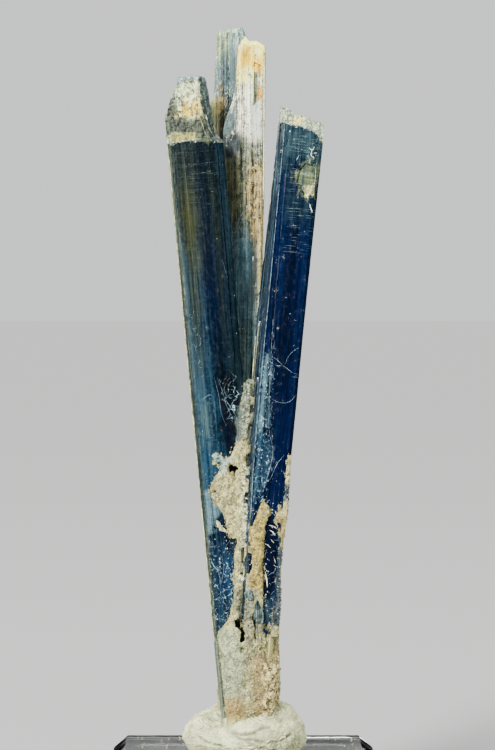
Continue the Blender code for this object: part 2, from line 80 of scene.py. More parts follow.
# Zones of a blade's colour, in the order they are laid. Each has the softness of its border in
# millimetres, how much longer the border fades in z, how ragged it is, a dark and a light colour,
# and its outline in x and z.
LEFT_ZONES = {
    "steel": (2.6, 3, 0.3, (9, 30, 46), (36, 66, 82), [
        (-8, 104), (-4.6, 104), (-1.5, 104), (-0.9, 92), (-0.4, 84), (-0.5, 74), (0.7, 71.8), (0.8, 67.6),
        (-0.9, 66.6), (-0.3, 63.4), (1, 60), (0.4, 48), (-8, 42)]),
    "royal": (4, 4, 0.1, (1, 12, 30), (4, 20, 52), [(-0.6, 101), (3, 101), (3, 93), (0.6, 86), (-0.6, 90)]),
    "violet": (2.4, 6, 0.1, (8, 15, 22), (28, 36, 42), [
        (-1.2, 119), (0.2, 119), (1.2, 104), (0.2, 98), (-1.2, 102)]),
    "olive": (2.6, 8, 0.1, (22, 30, 26), (52, 57, 42), [
        (-4.3, 121.5), (-1, 121.5), (-1.3, 108), (-1.7, 98), (-2, 84), (-3, 78), (-4, 88), (-4.2, 100)]),
    "gold": (1.6, 6, 0.1, (34, 38, 22), (56, 58, 32), [(-3.7, 112), (-2.2, 112), (-2.1, 104), (-3.2, 103)]),
    "brown": (1.8, 8, 0.1, (7, 14, 15), (26, 33, 24), [
        (2, 121), (3.4, 121), (4.5, 112), (3.6, 98), (3, 86), (2.4, 90), (2.5, 104)]),
    "teal": (1.6, 6, 0.1, (8, 22, 30), (24, 42, 48), [
        (4.4, 124), (5.1, 124), (5.6, 100), (5.4, 80), (4.6, 66), (3.4, 70), (4.2, 92)]),
    "low": (1.6, 2, 0.4, (6, 18, 36), (26, 48, 64), [(-4.4, 42), (0.6, 42), (0.9, 24), (-4.6, 22)]),
    "vivid": (1.7, 1, 0.5, (10, 24, 46), (20, 48, 76), [
        (-1.5, 38), (0.9, 37), (0.8, 30), (-2.2, 30.4), (-2, 34)]),
    "haze": (1.3, 1, 0.5, (34, 56, 66), (100, 128, 134), [
        (-4.6, 51.5), (-3.4, 53), (-1.1, 49.6), (-2.4, 46), (-3.1, 43.2), (-4.6, 43.2)]),
    "cloud": (1.9, 2, 0.7, (26, 42, 52), (56, 80, 84), [
        (-4.2, 71), (-1.2, 70.6), (-1.2, 65.6), (-2.6, 62), (-4.2, 66)]),
    "ink": (0.9, 1, 0.4, (2, 4, 10), (5, 14, 32), [
        (0.2, 74), (1.2, 77), (4.2, 75.4), (4.8, 70.4), (3.2, 66.5), (3.1, 61), (2.4, 55.6), (1.5, 56),
        (1.1, 61), (-0.2, 64.7), (1, 67.4), (0.6, 71)]),
    "notch": (0.9, 1, 0.5, (2, 5, 12), (8, 22, 44), [
        (-2.8, 45.2), (-1.4, 48.2), (-0.2, 47), (-0.3, 43.6), (0.6, 41), (1.6, 36), (0.4, 38),
        (-1.4, 42.4)]),
    "lens": (0.7, 1, 0.2, (58, 74, 68), (110, 116, 86), [
        (3.9, 69), (4.9, 69.6), (5.2, 64.6), (4.3, 62.6), (3.5, 65.8)]),
    "side": (1.1, 6, 0.3, (18, 26, 24), (80, 86, 68), [
        (-8, 126), (-5, 126), (-4.6, 60), (-4.2, 20), (-4, 0), (-8, 0)]),
    "foot": (0.6, 1, 0.3, (12, 22, 24), (116, 124, 104), [(-8, 22), (-2.6, 21), (-2, 0), (-8, 0)]),
    "stone": (0.25, 1, 0.3, (70, 84, 66), (206, 216, 164), [
        (-8, 125.4), (0.3, 125.7), (3.8, 125.2), (8, 124.4), (8, 150), (-8, 150)]),
    "glass": (0.8, 1, 0.45, (18, 26, 18), (70, 80, 56), [
        (-6.4, 125.6), (-6.2, 131), (-5, 134.4), (-3.5, 134.8), (-2.8, 131), (-1.6, 130.6), (2.3, 129.8),
        (5.2, 124.6), (0.2, 125.4), (0.1, 127.1), (-5.4, 127.2)]),
    # Painted highlights: pale bands along the lit edges of the terraces.
    "arc": (1.1, 1, 0.4, (140, 146, 110), (250, 244, 176), [
        (-4.3, 134.9), (-4.1, 136), (-2.1, 137.9), (1.1, 138.6), (1.9, 138.6), (1.9, 137.6), (-1.8, 137)]),
    "lower_arc": (0.9, 1, 0.4, (110, 116, 84), (236, 228, 160), [
        (-3, 133.9), (-1.3, 135.5), (1.6, 135.7), (1.7, 134.7), (-1.2, 134.3)]),
    "amber": (1.4, 1, 0.7, (96, 88, 52), (226, 194, 64), [
        (-2.9, 132.8), (-1.3, 134), (1.5, 133.5), (2.1, 131.8), (1.7, 130.2), (0.5, 130.9), (-2.9, 131.2)]),
    "slate": (0.7, 1, 0.4, (24, 36, 38), (66, 82, 78), [
        (2.1, 140), (2, 133.6), (2.5, 129.6), (3.4, 126.4), (5.4, 124.6), (8, 124.4), (8, 140)]),
    "crest": (0.7, 1, 0.6, (76, 98, 102), (156, 178, 172), [
        (-3.2, 140), (-3.2, 137), (-1.9, 137.9), (0.8, 139), (1.9, 138.8), (1.9, 140)]),
    "ledge": (0.25, 1, 0.2, (84, 84, 46), (152, 146, 64), [
        (-5.2, 125.7), (0.2, 125.9), (0.15, 127.3), (-4.6, 127.3), (-5.2, 126.9)]),
}
RIGHT_ZONES = {
    "facet": (0.7, 4, 0.3, (4, 14, 24), (20, 38, 50), [
        (-8, 140), (-3.7, 140), (-3.4, 60), (-2.4, 34), (-1.6, 10), (-8, 10)]),
    "royal": (2.2, 4, 0.15, (1, 7, 21), (2, 13, 46), [
        (-0.6, 100), (3.2, 100), (3.7, 84), (3.6, 62), (3.2, 50), (0.6, 50), (0.6, 66), (-0.4, 84)]),
    "bright_edge": (1.6, 4, 0.3, (4, 18, 44), (12, 36, 64), [(4, 112), (8, 112), (8, 60), (4.2, 60)]),
    "teal": (3, 2, 0.3, (17, 32, 38), (50, 74, 79), [
        (-3.6, 129), (5.4, 129), (5.2, 121.5), (3.4, 120), (-0.5, 122), (-3.6, 119)]),
    "grid": (2.4, 2, 0.25, (4, 17, 32), (21, 39, 50), [
        (-2.1, 116), (4.4, 115.4), (4.7, 109.6), (2.6, 108.6), (-2, 109.2)]),
    "band": (0.7, 2, 0.8, (3, 12, 20), (74, 102, 112), [
        (-3.3, 81.5), (-2, 81.5), (-1.2, 70.8), (-0.9, 66), (-3.2, 63)]),
    "bulge": (0.9, 1, 0.5, (8, 26, 44), (38, 62, 76), [
        (-3.2, 64), (-0.5, 63.4), (0.8, 59.5), (0.2, 55.8), (-0.9, 52), (-3, 50)]),
    "crusted": (0.4, 1, 0.8, (90, 96, 76), (206, 206, 150), [
        (-8, 60), (-4.7, 58), (-4.3, 50), (-3.5, 44), (-2.8, 33), (-8, 30)]),
    "foot": (0.9, 1, 0.8, CRUST_DARK, CRUST_LIGHT, [
        (-8, 21.4), (2.9, 21.6), (3.3, 23.8), (3.8, 21.8), (8, 22.4), (8, 0), (-8, 0)]),
    "patch": (2.3, 1, 0.6, (40, 60, 60), (109, 116, 76), [
        (1.5, 121.1), (3.9, 120.9), (4.4, 118), (3.6, 114.6), (1.7, 114.1), (1.5, 115.9), (0, 116.6),
        (-0.6, 118.4)]),
    "chip": (0.9, 1, 0.7, (100, 112, 80), (230, 222, 150), [
        (2, 115.8), (3.7, 116.2), (3.5, 114.4), (1.8, 114)]),
    "gap": (1.1, 1, 0.6, (2, 4, 10), (4, 12, 32), [
        (0.4, 46), (3.4, 47), (2.6, 43.5), (3.6, 40.5), (3.2, 26), (0.9, 28), (0.9, 42)]),
    "dusk": (1.2, 1, 0.6, (3, 14, 34), (36, 54, 64), [(0.6, 29.5), (4.6, 30), (4.6, 24), (0.8, 24.5)]),
    "stone": (0.25, 1, 0.5, (78, 92, 84), (172, 186, 150), [
        (-8, 129), (-3.4, 128.8), (0, 128.4), (3, 127.4), (4.4, 125.6), (8, 124.4), (8, 150), (-8, 150)]),
    "cream": (0.9, 1, 0.5, (120, 116, 74), (236, 222, 140), [
        (-3.7, 129), (-2.6, 130.2), (0, 130.5), (0.6, 129.2), (-0.4, 128.6)]),
}
PALE_ZONES = {
    "cream": (2.9, 2, 0.8, (196, 180, 98), (255, 250, 124), [
        (-2.4, 150), (-1.9, 138), (0, 136.4), (1.4, 138), (8, 136.6), (8, 150)]),
    "smooth": (0.9, 2, 0.5, (150, 162, 150), (206, 212, 190), [
        (1.1, 132.6), (3.5, 133), (4, 125.8), (1.2, 126)]),
    "olive": (1.4, 2, 0.5, (20, 25, 18), (124, 130, 102), [(-8, 125.2), (8, 125), (8, 0), (-8, 0)]),
    "brown": (2.2, 2, 0.6, (34, 46, 34), (96, 98, 64), [
        (-4.2, 120), (-0.6, 120), (0.2, 114), (1.2, 108.5), (0.4, 104.6), (-2.5, 106), (-4.4, 110)]),
    "smoke": (2.4, 3, 0.4, (36, 64, 74), (72, 106, 114), [
        (-3, 106), (0.8, 105.5), (2.2, 99), (2.6, 84), (-3, 84)]),
    "tan": (1.4, 4, 0.6, (30, 27, 18), (178, 158, 96), [
        (1, 118.6), (4.4, 118.6), (4.6, 101), (2.9, 100.6), (1.3, 107.6), (0.7, 113)]),
    "tan_line": (0.7, 5, 0.9, (66, 62, 44), (196, 186, 130), [
        (2.9, 102), (4.6, 102), (4.6, 84), (3.6, 84)]),
    "groove": (1.6, 4, 0.6, (10, 18, 20), (40, 50, 42), [
        (1.8, 104), (2.8, 104), (2.8, 94), (2, 88), (1.5, 93)]),
    "moss": (1.7, 2, 0.6, (34, 56, 62), (84, 112, 110), [(-8, 85), (3.2, 85), (3.2, 0), (-8, 0)]),
    "deep": (0.9, 2, 0.8, (30, 44, 48), (84, 108, 104), [
        (-6, 131.5), (-2.4, 131), (-1.9, 127.5), (-2.6, 125), (-6, 125)]),
    "dusk": (1.2, 1, 0.5, (10, 18, 20), (42, 56, 56), [
        (-5, 126.2), (-2, 126), (-0.9, 124.6), (-0.5, 121.6), (-3.6, 120.4), (-5, 121)]),
    "stain": (1.6, 1, 0.9, (160, 124, 34), (248, 200, 20), [
        (-1.6, 142.6), (-0.4, 143.8), (1.4, 143.4), (1.6, 140.8), (0.4, 140), (-0.8, 141)]),
    "stain_right": (1.1, 1, 0.8, (140, 106, 30), (246, 196, 20), [
        (1.9, 141.4), (3.5, 141), (3.6, 138.4), (2, 138.8)]),
    "stain_low": (1.1, 1, 0.8, (156, 116, 24), (236, 184, 10), [
        (1.9, 136.2), (3.5, 135.6), (3.4, 133), (2.2, 133.8)]),
    "pocket": (0.25, 1, 0.5, (26, 34, 32), (108, 118, 90), [
        (1.7, 139.4), (2.6, 139.2), (2.5, 134.4), (2.5, 131.6), (1.7, 131.8)]),
}
BACK_ZONES = {
    "green": (1.1, 2, 0.6, (74, 88, 75), (164, 188, 142), [
        (-5, 150), (-1, 150), (-0.8, 143.8), (-2, 139), (-5, 139)]),
    "deep": (2.2, 2, 0.8, (28, 43, 49), (80, 104, 106), [
        (-5, 141.4), (-1.6, 143), (0.6, 142.6), (1.4, 134), (1, 126), (-3.4, 126), (-5, 134)]),
    "teal": (1.1, 1, 0.6, (10, 22, 24), (38, 56, 56), [
        (-2.2, 134.6), (0.4, 134.4), (-0.4, 130.5), (-1.7, 128.4), (-2.2, 125)]),
    "wedge": (0.7, 2, 0.6, (20, 20, 10), (74, 70, 38), [
        (-3.8, 134.2), (-2.9, 135.4), (-2, 136.4), (-2.1, 129), (-2.6, 124), (-3.8, 124)]),
    "amber": (0.9, 1, 0.7, (40, 42, 30), (166, 146, 78), [
        (-3.6, 134.1), (-2.4, 134.8), (-2.2, 131.8), (-3.4, 130.8)]),
    "olive": (0.7, 2, 0.5, (50, 54, 38), (188, 186, 128), [
        (-6, 134.6), (-4, 134.6), (-3.8, 128), (-3.8, 120), (-6, 120)]),
    "low": (4.3, 2, 0.5, (12, 24, 30), (60, 82, 90), [(-8, 122), (8, 122), (8, 0), (-8, 0)]),
}

# Where a blade carries marks, as softness, how much longer the border fades in z, and outline.
# web is a net of fine cracks, flecks are painted glints on short bright chips, rungs are fine lines across
# the blade, striae are fine bright lines along it, rimmed is where its edges are pale from wear and carry a
# painted highlight.
LEFT_MARKS = {
    "web": (0.8, 1, [(-4.6, 38), (0.9, 38), (0.9, 24), (-4.8, 21)]),
    "chips": (0.6, 1, [(1.2, 75.6), (4.4, 74.6), (4.6, 70), (3.2, 66.6), (1.8, 68.4)]),
    "glint_flecks": (0.8, 1, [(-4.8, 42), (1, 42), (0.8, 22), (-5, 20)]),
    "rungs": (0.9, 1, [(-5, 123.6), (4.4, 123.6), (4.4, 115), (1.2, 112), (-5, 117)]),
    "striae": (0.3, 2, [(-8, 124), (-4.6, 124), (-4.3, 60), (-4.2, 20), (-8, 20)]),
    "rim_wear_and_highlight": (0.2, 1, [(-8, 125), (-5.6, 125), (-5.1, 60), (-4.75, 20), (-8, 20)]),
}
RIGHT_MARKS = {
    "web": (0.5, 1, [(-3.2, 82), (-1.7, 82), (-0.9, 66), (0.6, 59), (0.2, 50), (-3, 48)]),
    "chips": (0.6, 1, [(2, 123.4), (4.2, 124.4), (4.3, 120.6), (2.4, 121.2)]),
    "glint_flecks": (0.6, 1, [
        (-3, 82), (-1.7, 82), (-0.9, 66), (0.6, 59), (3.2, 47), (4.6, 38), (4.4, 26), (-3, 26)]),
    "rungs": (1, 1, [(-2.6, 127), (4.2, 126), (4.4, 100), (2, 100.5), (-1.6, 101.5), (-1.2, 114)]),
    "striae": (0.3, 2, [(-8, 129), (-3.4, 128.4), (-3.2, 60), (-2.2, 34), (-8, 20)]),
    "rim_wear_and_highlight": (0.2, 4, [
        (-8, 86), (-4.9, 86), (-5, 80), (-4.8, 60), (-4, 44), (-3.6, 33), (-3, 20), (-8, 20)]),
}
PALE_MARKS = {
    "web": (0.6, 1, [(-4.4, 128), (-1.4, 127), (-1.4, 124.6), (-4.4, 124)]),
    "chips": (0.6, 1, [(-0.6, 125.6), (4.4, 125.6), (4.4, 122), (-0.6, 122)]),
    "glint_flecks": (0.9, 1, [(-0.6, 126), (4.4, 126), (4.4, 104), (-0.6, 104)]),
    "rungs": (0.9, 1, [(-1.2, 92), (2.7, 91.7), (2.6, 76), (-1.2, 76)]),
    "striae": (0.6, 2, [(-4.6, 136), (4.6, 136), (4.6, 104), (-4.6, 104)]),
    "rim_wear_and_highlight": (0.3, 1, [(4, 150), (8, 150), (8, 80), (3.9, 80)]),
}
BACK_MARKS = {
    "web": (0.6, 1, [(-3, 137), (0.4, 137), (0, 132), (-2.4, 132)]),
    "chips": (0.3, 1, [(-4.6, 149), (-3.2, 149), (-3.5, 134), (-5, 134)]),
    "glint_flecks": (0.6, 1, [(-2, 134), (0.6, 134), (-1, 126), (-2.4, 126)]),
    "rungs": (0.9, 1, [(-5, 60), (5, 60), (5, 40), (-5, 40)]),
    "striae": (0.5, 2, [(-2, 148), (2.6, 148), (0.5, 130), (-3, 130)]),
    "rim_wear_and_highlight": (0.3, 1, [(-8, 150), (-3.2, 150), (-3.9, 126), (-8, 126)]),
}


# ---------------------------------------------------------------------------- material tools
def tone(colour):
    """A colour as a screen shows it, as the light that a shader wants. Sockets stay as they are."""
    if isinstance(colour, bpy.types.NodeSocket):
        return colour
    shown = [value / 255 for value in colour]
    return (*[value / 12.92 if value < 0.04 else ((value + 0.055) / 1.055) ** 2.4
              for value in shown], 1.0)


class Look:
    """A Principled material, and short names for the nodes that feed it."""

    def __init__(self, name, **values):
        self.material = bpy.data.materials.new(name)
        self.material.use_nodes = True
        self.tree = self.material.node_tree
        self.shader = self.tree.nodes["Principled BSDF"]
        for socket, value in values.items():
            self.shader.inputs[socket.replace("_", " ")].default_value = value

    def node(self, kind, inputs=(), **settings):
        made = self.tree.nodes.new(kind)
        for name, value in settings.items():
            setattr(made, name, value)
        for place, value in dict(inputs).items():
            if isinstance(value, bpy.types.NodeSocket):
                self.tree.links.new(value, made.inputs[place])
            else:
                made.inputs[place].default_value = value
        return made

    def feed(self, socket, value):
        self.tree.links.new(value, self.shader.inputs[socket])

    def attribute(self, name):
        return self.node("ShaderNodeAttribute", attribute_name=name).outputs["Fac"]

    def place(self, size):
        """The piece's own coordinates in millimetres, divided by a size, or one along each axis."""
        source = self.node("ShaderNodeAttribute", attribute_name="local").outputs["Vector"]
        sizes = size if isinstance(size, tuple) else (size,) * 3
        shrunk = self.node("ShaderNodeVectorMath", {0: source, 1: sizes}, operation="DIVIDE")
        return shrunk.outputs["Vector"]

    def grain(self, size, detail=3.0, rough=0.55):
        """Noise from 0 to 1 whose features have a size."""
        made = self.node("ShaderNodeTexNoise", {"Vector": self.place(size), "Scale": 1.0,
                                                "Detail": detail, "Roughness": rough})
        return made.outputs["Fac"]

    def math(self, operation, first, second=0.0):
        return self.node("ShaderNodeMath", {0: first, 1: second}, operation=operation).outputs[0]

    def times(self, first, *others):
        for other in others:
            first = self.math("MULTIPLY", first, other)
        return first

    def total(self, *weighted, start=0.0):
        """The sum of (value, weight) pairs, above a start."""
        for value, weight in weighted:
            made = self.node("ShaderNodeMath", {0: value, 1: weight, 2: start}, operation="MULTIPLY_ADD")
            start = made.outputs[0]
        return start

    def step(self, value, low, high, bottom=0.0, top=1.0):
        """A smooth step of a value, from bottom at low to top at high."""
        made = self.node("ShaderNodeMapRange", {0: value, 1: low, 2: high, 3: bottom, 4: top},
                         interpolation_type="SMOOTHSTEP")
        return made.outputs[0]

    def mix(self, share, first, second):
        made = self.node("ShaderNodeMix", {0: share, 6: tone(first), 7: tone(second)}, data_type="RGBA")
        return made.outputs[2]

    def layers(self, colour, *layers):
        """A colour with others laid over it in turn, as (share, colour) pairs."""
        for share, over in layers:
            colour = self.mix(share, colour, over)
        return colour

    def ramp(self, value, *stops):
        """Colours along a value, from (place, colour) pairs."""
        made = self.node("ShaderNodeValToRGB", {0: value})
        elements = made.color_ramp.elements
        elements[0].position, elements[0].color = stops[0][0], tone(stops[0][1])
        elements[1].position, elements[1].color = stops[-1][0], tone(stops[-1][1])
        for place, colour in stops[1:-1]:
            elements.new(place).color = tone(colour)
        return made.outputs[0]

    def cells(self, size, output="Distance"):
        made = self.node("ShaderNodeTexVoronoi", {"Vector": self.place(size), "Scale": 1.0})
        return made.outputs[output]

    def chance(self, size):
        """A random number from 0 to 1 for each cell of a size."""
        return self.node("ShaderNodeSeparateColor", {0: self.cells(size, "Color")}).outputs[0]

    def dots(self, size, radius, share):
        """1 on dots in a share of the cells of a size. The radius is in cells."""
        chosen = self.math("LESS_THAN", self.chance(size), share)
        return self.times(self.step(self.cells(size), radius, radius * 0.6), chosen)

    def web(self, size, width):
        """1 on thin, broken, wandering lines between cells of a size. The width is in cells."""
        wander, spread = 0.8, 0.26  # how far the lines stray, and how much of them is missing
        place = self.place(size)
        drift = self.node("ShaderNodeTexNoise", {"Vector": place, "Scale": 1.3, "Detail": 3.0})
        moved = self.node("ShaderNodeVectorMath", {0: drift.outputs["Color"], 1: (wander,) * 3, 2: place},
                          operation="MULTIPLY_ADD")
        made = self.node("ShaderNodeTexVoronoi", {"Vector": moved.outputs["Vector"], "Scale": 1.0},
                         feature="DISTANCE_TO_EDGE")
        near = self.total((drift.outputs["Fac"], spread), start=made.outputs["Distance"])
        usual = 0.12  # about what the drift adds to it
        return self.step(near, width + usual, width * 0.3 + usual)

    def bump(self, height, distance):
        made = self.node("ShaderNodeBump", {"Height": height, "Distance": distance * MM, "Strength": 1.0})
        self.feed("Normal", made.outputs[0])


SHADE_LOW = 0.36  # the shade of a blade's darkest colour
SHADE_HIGH = 0.64  # and of its lightest


def kyanite(name, zones, streaks, fibre=1.0, contrast=1.0, cloudy=0.25, grainy=0.18,
            rough=(0.10, 0.28), marks=CRACK, lines=CRACK, rung_light=0.05):
    """Long streaks of colour, with zones of their own two colours and marks over them.

    streaks are the base colours from dark to light, fibre is how wide they are and contrast how
    much the narrowest of them differ. cloudy and grainy are how much blotches and specks lighten
    and darken every colour. rough is the roughness of the polished faces, low and high. marks is
    the colour of cracks and chips, lines that of the striae, and rung_light how bright rungs are.
    """
    look = Look(name, IOR=1.72, Specular_IOR_Level=0.3)
    fine = look.grain((0.20 * fibre, 0.5, 8.0), 3.0, 0.65)
    middle = look.grain((0.55 * fibre, 1.2, 26.0), 3.0, 0.6)
    broad = look.grain((1.5 * fibre, 3.0, 60.0), 2.0)
    across = look.grain((4.0, 4.0, 0.22), 2.0)
    mottle = look.grain((0.8, 0.8, 1.3), 5.0, 0.72)
    grit = look.grain((0.2, 0.2, 0.26), 2.0, 0.65)
    stone = look.attribute("stone")
    weight = 0.45 * contrast
    shade = look.total((fine, weight), (middle, 0.45), (broad, 0.45), (mottle, cloudy), (grit, grainy),
                       (across, 0.14), start=-0.02 - 0.5 * (weight + cloudy + grainy))
    facet = look.chance((0.5, 0.5, 0.8))
    broken_end = look.total((mottle, 1.0), (facet, 0.5), (grit, 1.1), start=-1.3)
    shade = look.math("ADD", shade, look.times(broken_end, stone, 0.7))
    places = np.linspace(SHADE_LOW, SHADE_HIGH, len(streaks))
    colour = look.ramp(shade, *zip(places, streaks))
    lightness = look.step(shade, SHADE_LOW, SHADE_HIGH)
    border = look.total((mottle, 2.4), (grit, 1.0), start=-1.7)
    for zone, (_, _, ragged, dark, light, _) in zones.items():
        width = 0.40 - 0.26 * ragged
        share = look.total((border, ragged), start=look.attribute(zone))
        share = look.step(share, 0.5 - width, 0.5 + width)
        colour = look.mix(share, colour, look.mix(lightness, dark, light))

    broken = look.step(mottle, 0.44, 0.56)
    rungs = look.times(look.attribute("rungs"), look.step(mottle, 0.40, 0.58, 0.35, 1.0))
    line = look.grain((0.17, 0.4, 36.0), 1.0)
    near_web = look.times(look.attribute("web"), look.web((1.4, 1.4, 2.0), 0.04), broken, 0.6)
    colour = look.layers(
        colour,
        (look.times(rungs, look.step(across, 0.60, 0.72), rung_light), marks),
        (look.times(rungs, look.step(across, 0.44, 0.34), 0.5), INK),
        (look.times(look.attribute("striae"), look.step(line, 0.56, 0.68), 0.5), lines),
        (near_web, marks),
        (look.times(look.attribute("chips"), look.web((1.0, 1.0, 1.2), 0.07), look.step(mottle, 0.5, 0.6)),
         marks),
        # Painted glints: bright specks on small chips.
        (look.times(look.attribute("glint_flecks"), look.dots((0.3, 0.3, 0.45), 0.36, 0.18), broken), GLINT_FLECK),
        (look.times(look.dots((1.3, 1.3, 1.7), 0.06, 0.3), 0.8), marks))

    # Pale edges: patchy wear along the sharp edges, with a painted highlight line on them.
    wear_and_highlight = look.step(look.total((mottle, 0.5), (middle, 0.25), start=look.attribute("rim")), 0.62, 0.50)
    wear_and_highlight = look.times(wear_and_highlight, look.attribute("rim_wear_and_highlight"))
    wear_and_highlight_colour = look.mix(look.step(grit, 0.4, 0.6), (84, 90, 70), (206, 200, 132))
    grown = look.total((mottle, 1.9), (grit, 0.6), (look.attribute("crust_gap"), -0.50))
    grown = look.step(grown, 1.14, 1.20)
    crust = look.mix(look.step(grit, 0.36, 0.62), CRUST_DARK, CRUST_LIGHT)
    look.feed("Base Color", look.layers(colour, (wear_and_highlight, wear_and_highlight_colour), (grown, crust)))

    dull = look.math("MAXIMUM", stone, look.math("MAXIMUM", wear_and_highlight, grown))
    look.feed("Roughness", look.total((dull, 0.45), start=look.step(mottle, 0.35, 0.7, *rough)))
    relief = look.total((stone, 2.0), (grown, 2.0), start=0.2)
    look.bump(look.total((fine, 0.8), (middle, 0.5), (look.times(mottle, relief), 1.0), (grit, 0.25),
                         (grown, 0.8)), 0.07)
    return look.material


# -------------------------------------------------------------------------------- mesh tools
def stand(blade):
    """From a blade's own frame, in millimetres, to the world's metres."""
    turn = Euler((math.radians(blade["lean_front"]), math.radians(blade["lean_right"]), 0.0), "ZXY")
    return Matrix.Scale(MM, 4) @ Matrix.Translation(blade["foot"]) @ turn.to_matrix().to_4x4()


def transformed(matrix, points):
    """Points as rows of an array, moved by a matrix."""
    moved = np.array(matrix)
    return np.asarray(points) @ moved[:3, :3].T + moved[:3, 3]


def cad_copy(node, matrix=IN_MM, flat=0.0):
    """A welded copy of a model node's mesh, moved by a matrix. Faces that meet at less than flat
    are joined."""
    shape = bmesh.new()
    shape.from_mesh(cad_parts[node].data)
    shape.transform(matrix)
    bmesh.ops.remove_doubles(shape, verts=shape.verts, dist=WELD)
    if flat:
        bmesh.ops.dissolve_limit(shape, angle_limit=flat, verts=shape.verts, edges=shape.edges)
    return shape


def placed(name, data):
    """A new object of the scene from its data."""
    made = bpy.data.objects.new(name, data)
    bpy.context.scene.collection.objects.link(made)
    return made


def piece(name, points, faces, material, replaced=(), values=(), sharp=None, flat=False):
    """A piece of the scene from world metres. values are its point attributes by name."""
    mesh = bpy.data.meshes.new(name)
    mesh.from_pydata([tuple(point) for point in points], [], faces)
    for key, value in dict(values).items():
        value = np.asarray(value, dtype=np.float32)
        kind, store = ("FLOAT", "value") if value.ndim == 1 else ("FLOAT_VECTOR", "vector")
        mesh.attributes.new(key, kind, "POINT").data.foreach_set(store, value.ravel())
    if not flat:
        mesh.shade_smooth()
        if sharp is not None:
            mesh.set_sharp_from_angle(angle=math.radians(sharp))
    mesh.materials.append(material)
    made = placed(name, mesh)
    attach(made, "root")
    if replaced:
        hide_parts(*replaced)


def arrays(shape):
    """A bmesh's points, normals and faces. It is freed."""
    shape.normal_update()
    shape.verts.index_update()
    points = np.array([vert.co[:] for vert in shape.verts])
    normals = np.array([vert.normal[:] for vert in shape.verts])
    faces = [tuple(vert.index for vert in face.verts) for face in shape.faces]
    shape.free()
    return points, normals, faces


def joined(parts):
    """One (points, faces) from a list of them."""
    points, faces, start = [], [], 0
    for some, around in parts:
        points.append(np.asarray(some))
        faces += [tuple(start + i for i in face) for face in around]
        start += len(some)
    return np.concatenate(points), faces


def remeshed(shape, voxel):
    """A bmesh in millimetres as one closed skin of small facets. It is freed."""
    mesh = bpy.data.meshes.new("skin")
    shape.to_mesh(mesh)
    shape.free()
    made = placed("skin", mesh)
    step = made.modifiers.new("skin", "REMESH")
    step.mode = "VOXEL"
    step.voxel_size = voxel
    bpy.context.view_layer.update()
    graph = bpy.context.evaluated_depsgraph_get()
    skin = bmesh.new()
    skin.from_mesh(made.evaluated_get(graph).to_mesh())
    bpy.data.objects.remove(made)
    bpy.data.meshes.remove(mesh)
    return skin


def field(points, size, seed=0.0, octaves=2):
    """Smooth noise from about -1 to 1 at each point, with features of a size, or one on each axis."""
    scaled = np.asarray(points) / size + seed * 7.31
    return np.array([noise.fractal(Vector(point), 1.0, 2.0, octaves) for point in scaled])


def bent(points, size, seeds, reach):
    """The points' x and z, wandering by up to a reach in each, so that outlines aren't straight."""
    drift = [field(points, size, seed, 3) for seed in seeds]
    return points[:, [0, 2]] + np.stack(drift, axis=1) * reach


def inside(points, outline, softness, stretch=1.0):
    """0 to 1 across an outline's border, 0.5 on it. The border is stretch times longer in z."""
    size = np.array([softness, softness * stretch])
    places = points / size
    corners = np.array(outline) / size
    nearest = np.full(len(places), np.inf)
    within = np.zeros(len(places), dtype=bool)
    for start, end in zip(corners, np.roll(corners, -1, axis=0)):
        along = end - start
        share = np.clip((places - start) @ along / (along @ along), 0, 1)
        nearest = np.minimum(nearest, np.linalg.norm(places - start - share[:, None] * along, axis=1))
        spans = (start[1] > places[:, 1]) != (end[1] > places[:, 1])
        rise = along[1] if along[1] else 1.0
        crossing = start[0] + (places[:, 1] - start[1]) / rise * along[0]
        within ^= spans & (places[:, 0] < crossing)
    return np.clip(0.5 + np.where(within, nearest, -nearest) / 2, 0, 1)


def tree_of(points, faces):
    return BVHTree.FromPolygons([tuple(point) for point in points], faces)


def node_tree(node):
    points, _, faces = arrays(cad_copy(node))
    return tree_of(points, faces)


def gaps(points, tree, reach):
    """How far each point is from a surface, up to a reach."""
    found = [tree.find_nearest(Vector(point), reach)[3] for point in points]
    return np.array([reach if gap is None else gap for gap in found])


def nearest_gaps(points, places):
    """How far each point is from the nearest of some places."""
    tree = KDTree(len(places))
    for i, place in enumerate(places):
        tree.insert(place, i)
    tree.balance()
    return np.array([tree.find(Vector(point))[2] for point in points])


# ------------------------------------------------------------------------------ blade shapes
STRIP_TOP = 0.86  # a strip is flat over this share of its width
CUT = 0.9  # the height of a blade's small faces
FINE_CUT = 0.35  # the same at its broken end
CUT_THROUGH = 0.5  # and the depth of those on its sides
CUT_SNAP = 0.004  # a cut this near to a point goes through it
CUT_WELD = 0.01  # points nearer than this after the cuts are one point
NICK_REACH = 0.3  # nicks are nearer than this to a sharp edge
NICK_DEPTH = 0.6
EDGE_REACH = 1.0  # how far from the sharp edges the distance is measured, for nicks and for pale wear with a painted highlight
CRUST_REACH = 4.0  # and how far from the crust its traces are
HOLLOW_DEPTH = 0.08  # shallow hollows along the faces
END_DEPTH = 0.14  # how deep the broken end is cut, and how rough it is
END_GRIT = 0.24
SIDEWAYS = 0.8  # a side face looks this much to the side


def strips(seed, narrow, wide):
    """Flat strips side by side across a blade: places in x, and a depth from 0 to 1 at each."""
    draw = random.Random(seed)
    places, depths, x = [], [], -HALF_WIDTH
    while x < HALF_WIDTH:
        width = draw.uniform(narrow, wide)
        depth = draw.random()
        places += [x, x + width * STRIP_TOP]
        depths += [depth, depth]
        x += width
    return places, depths


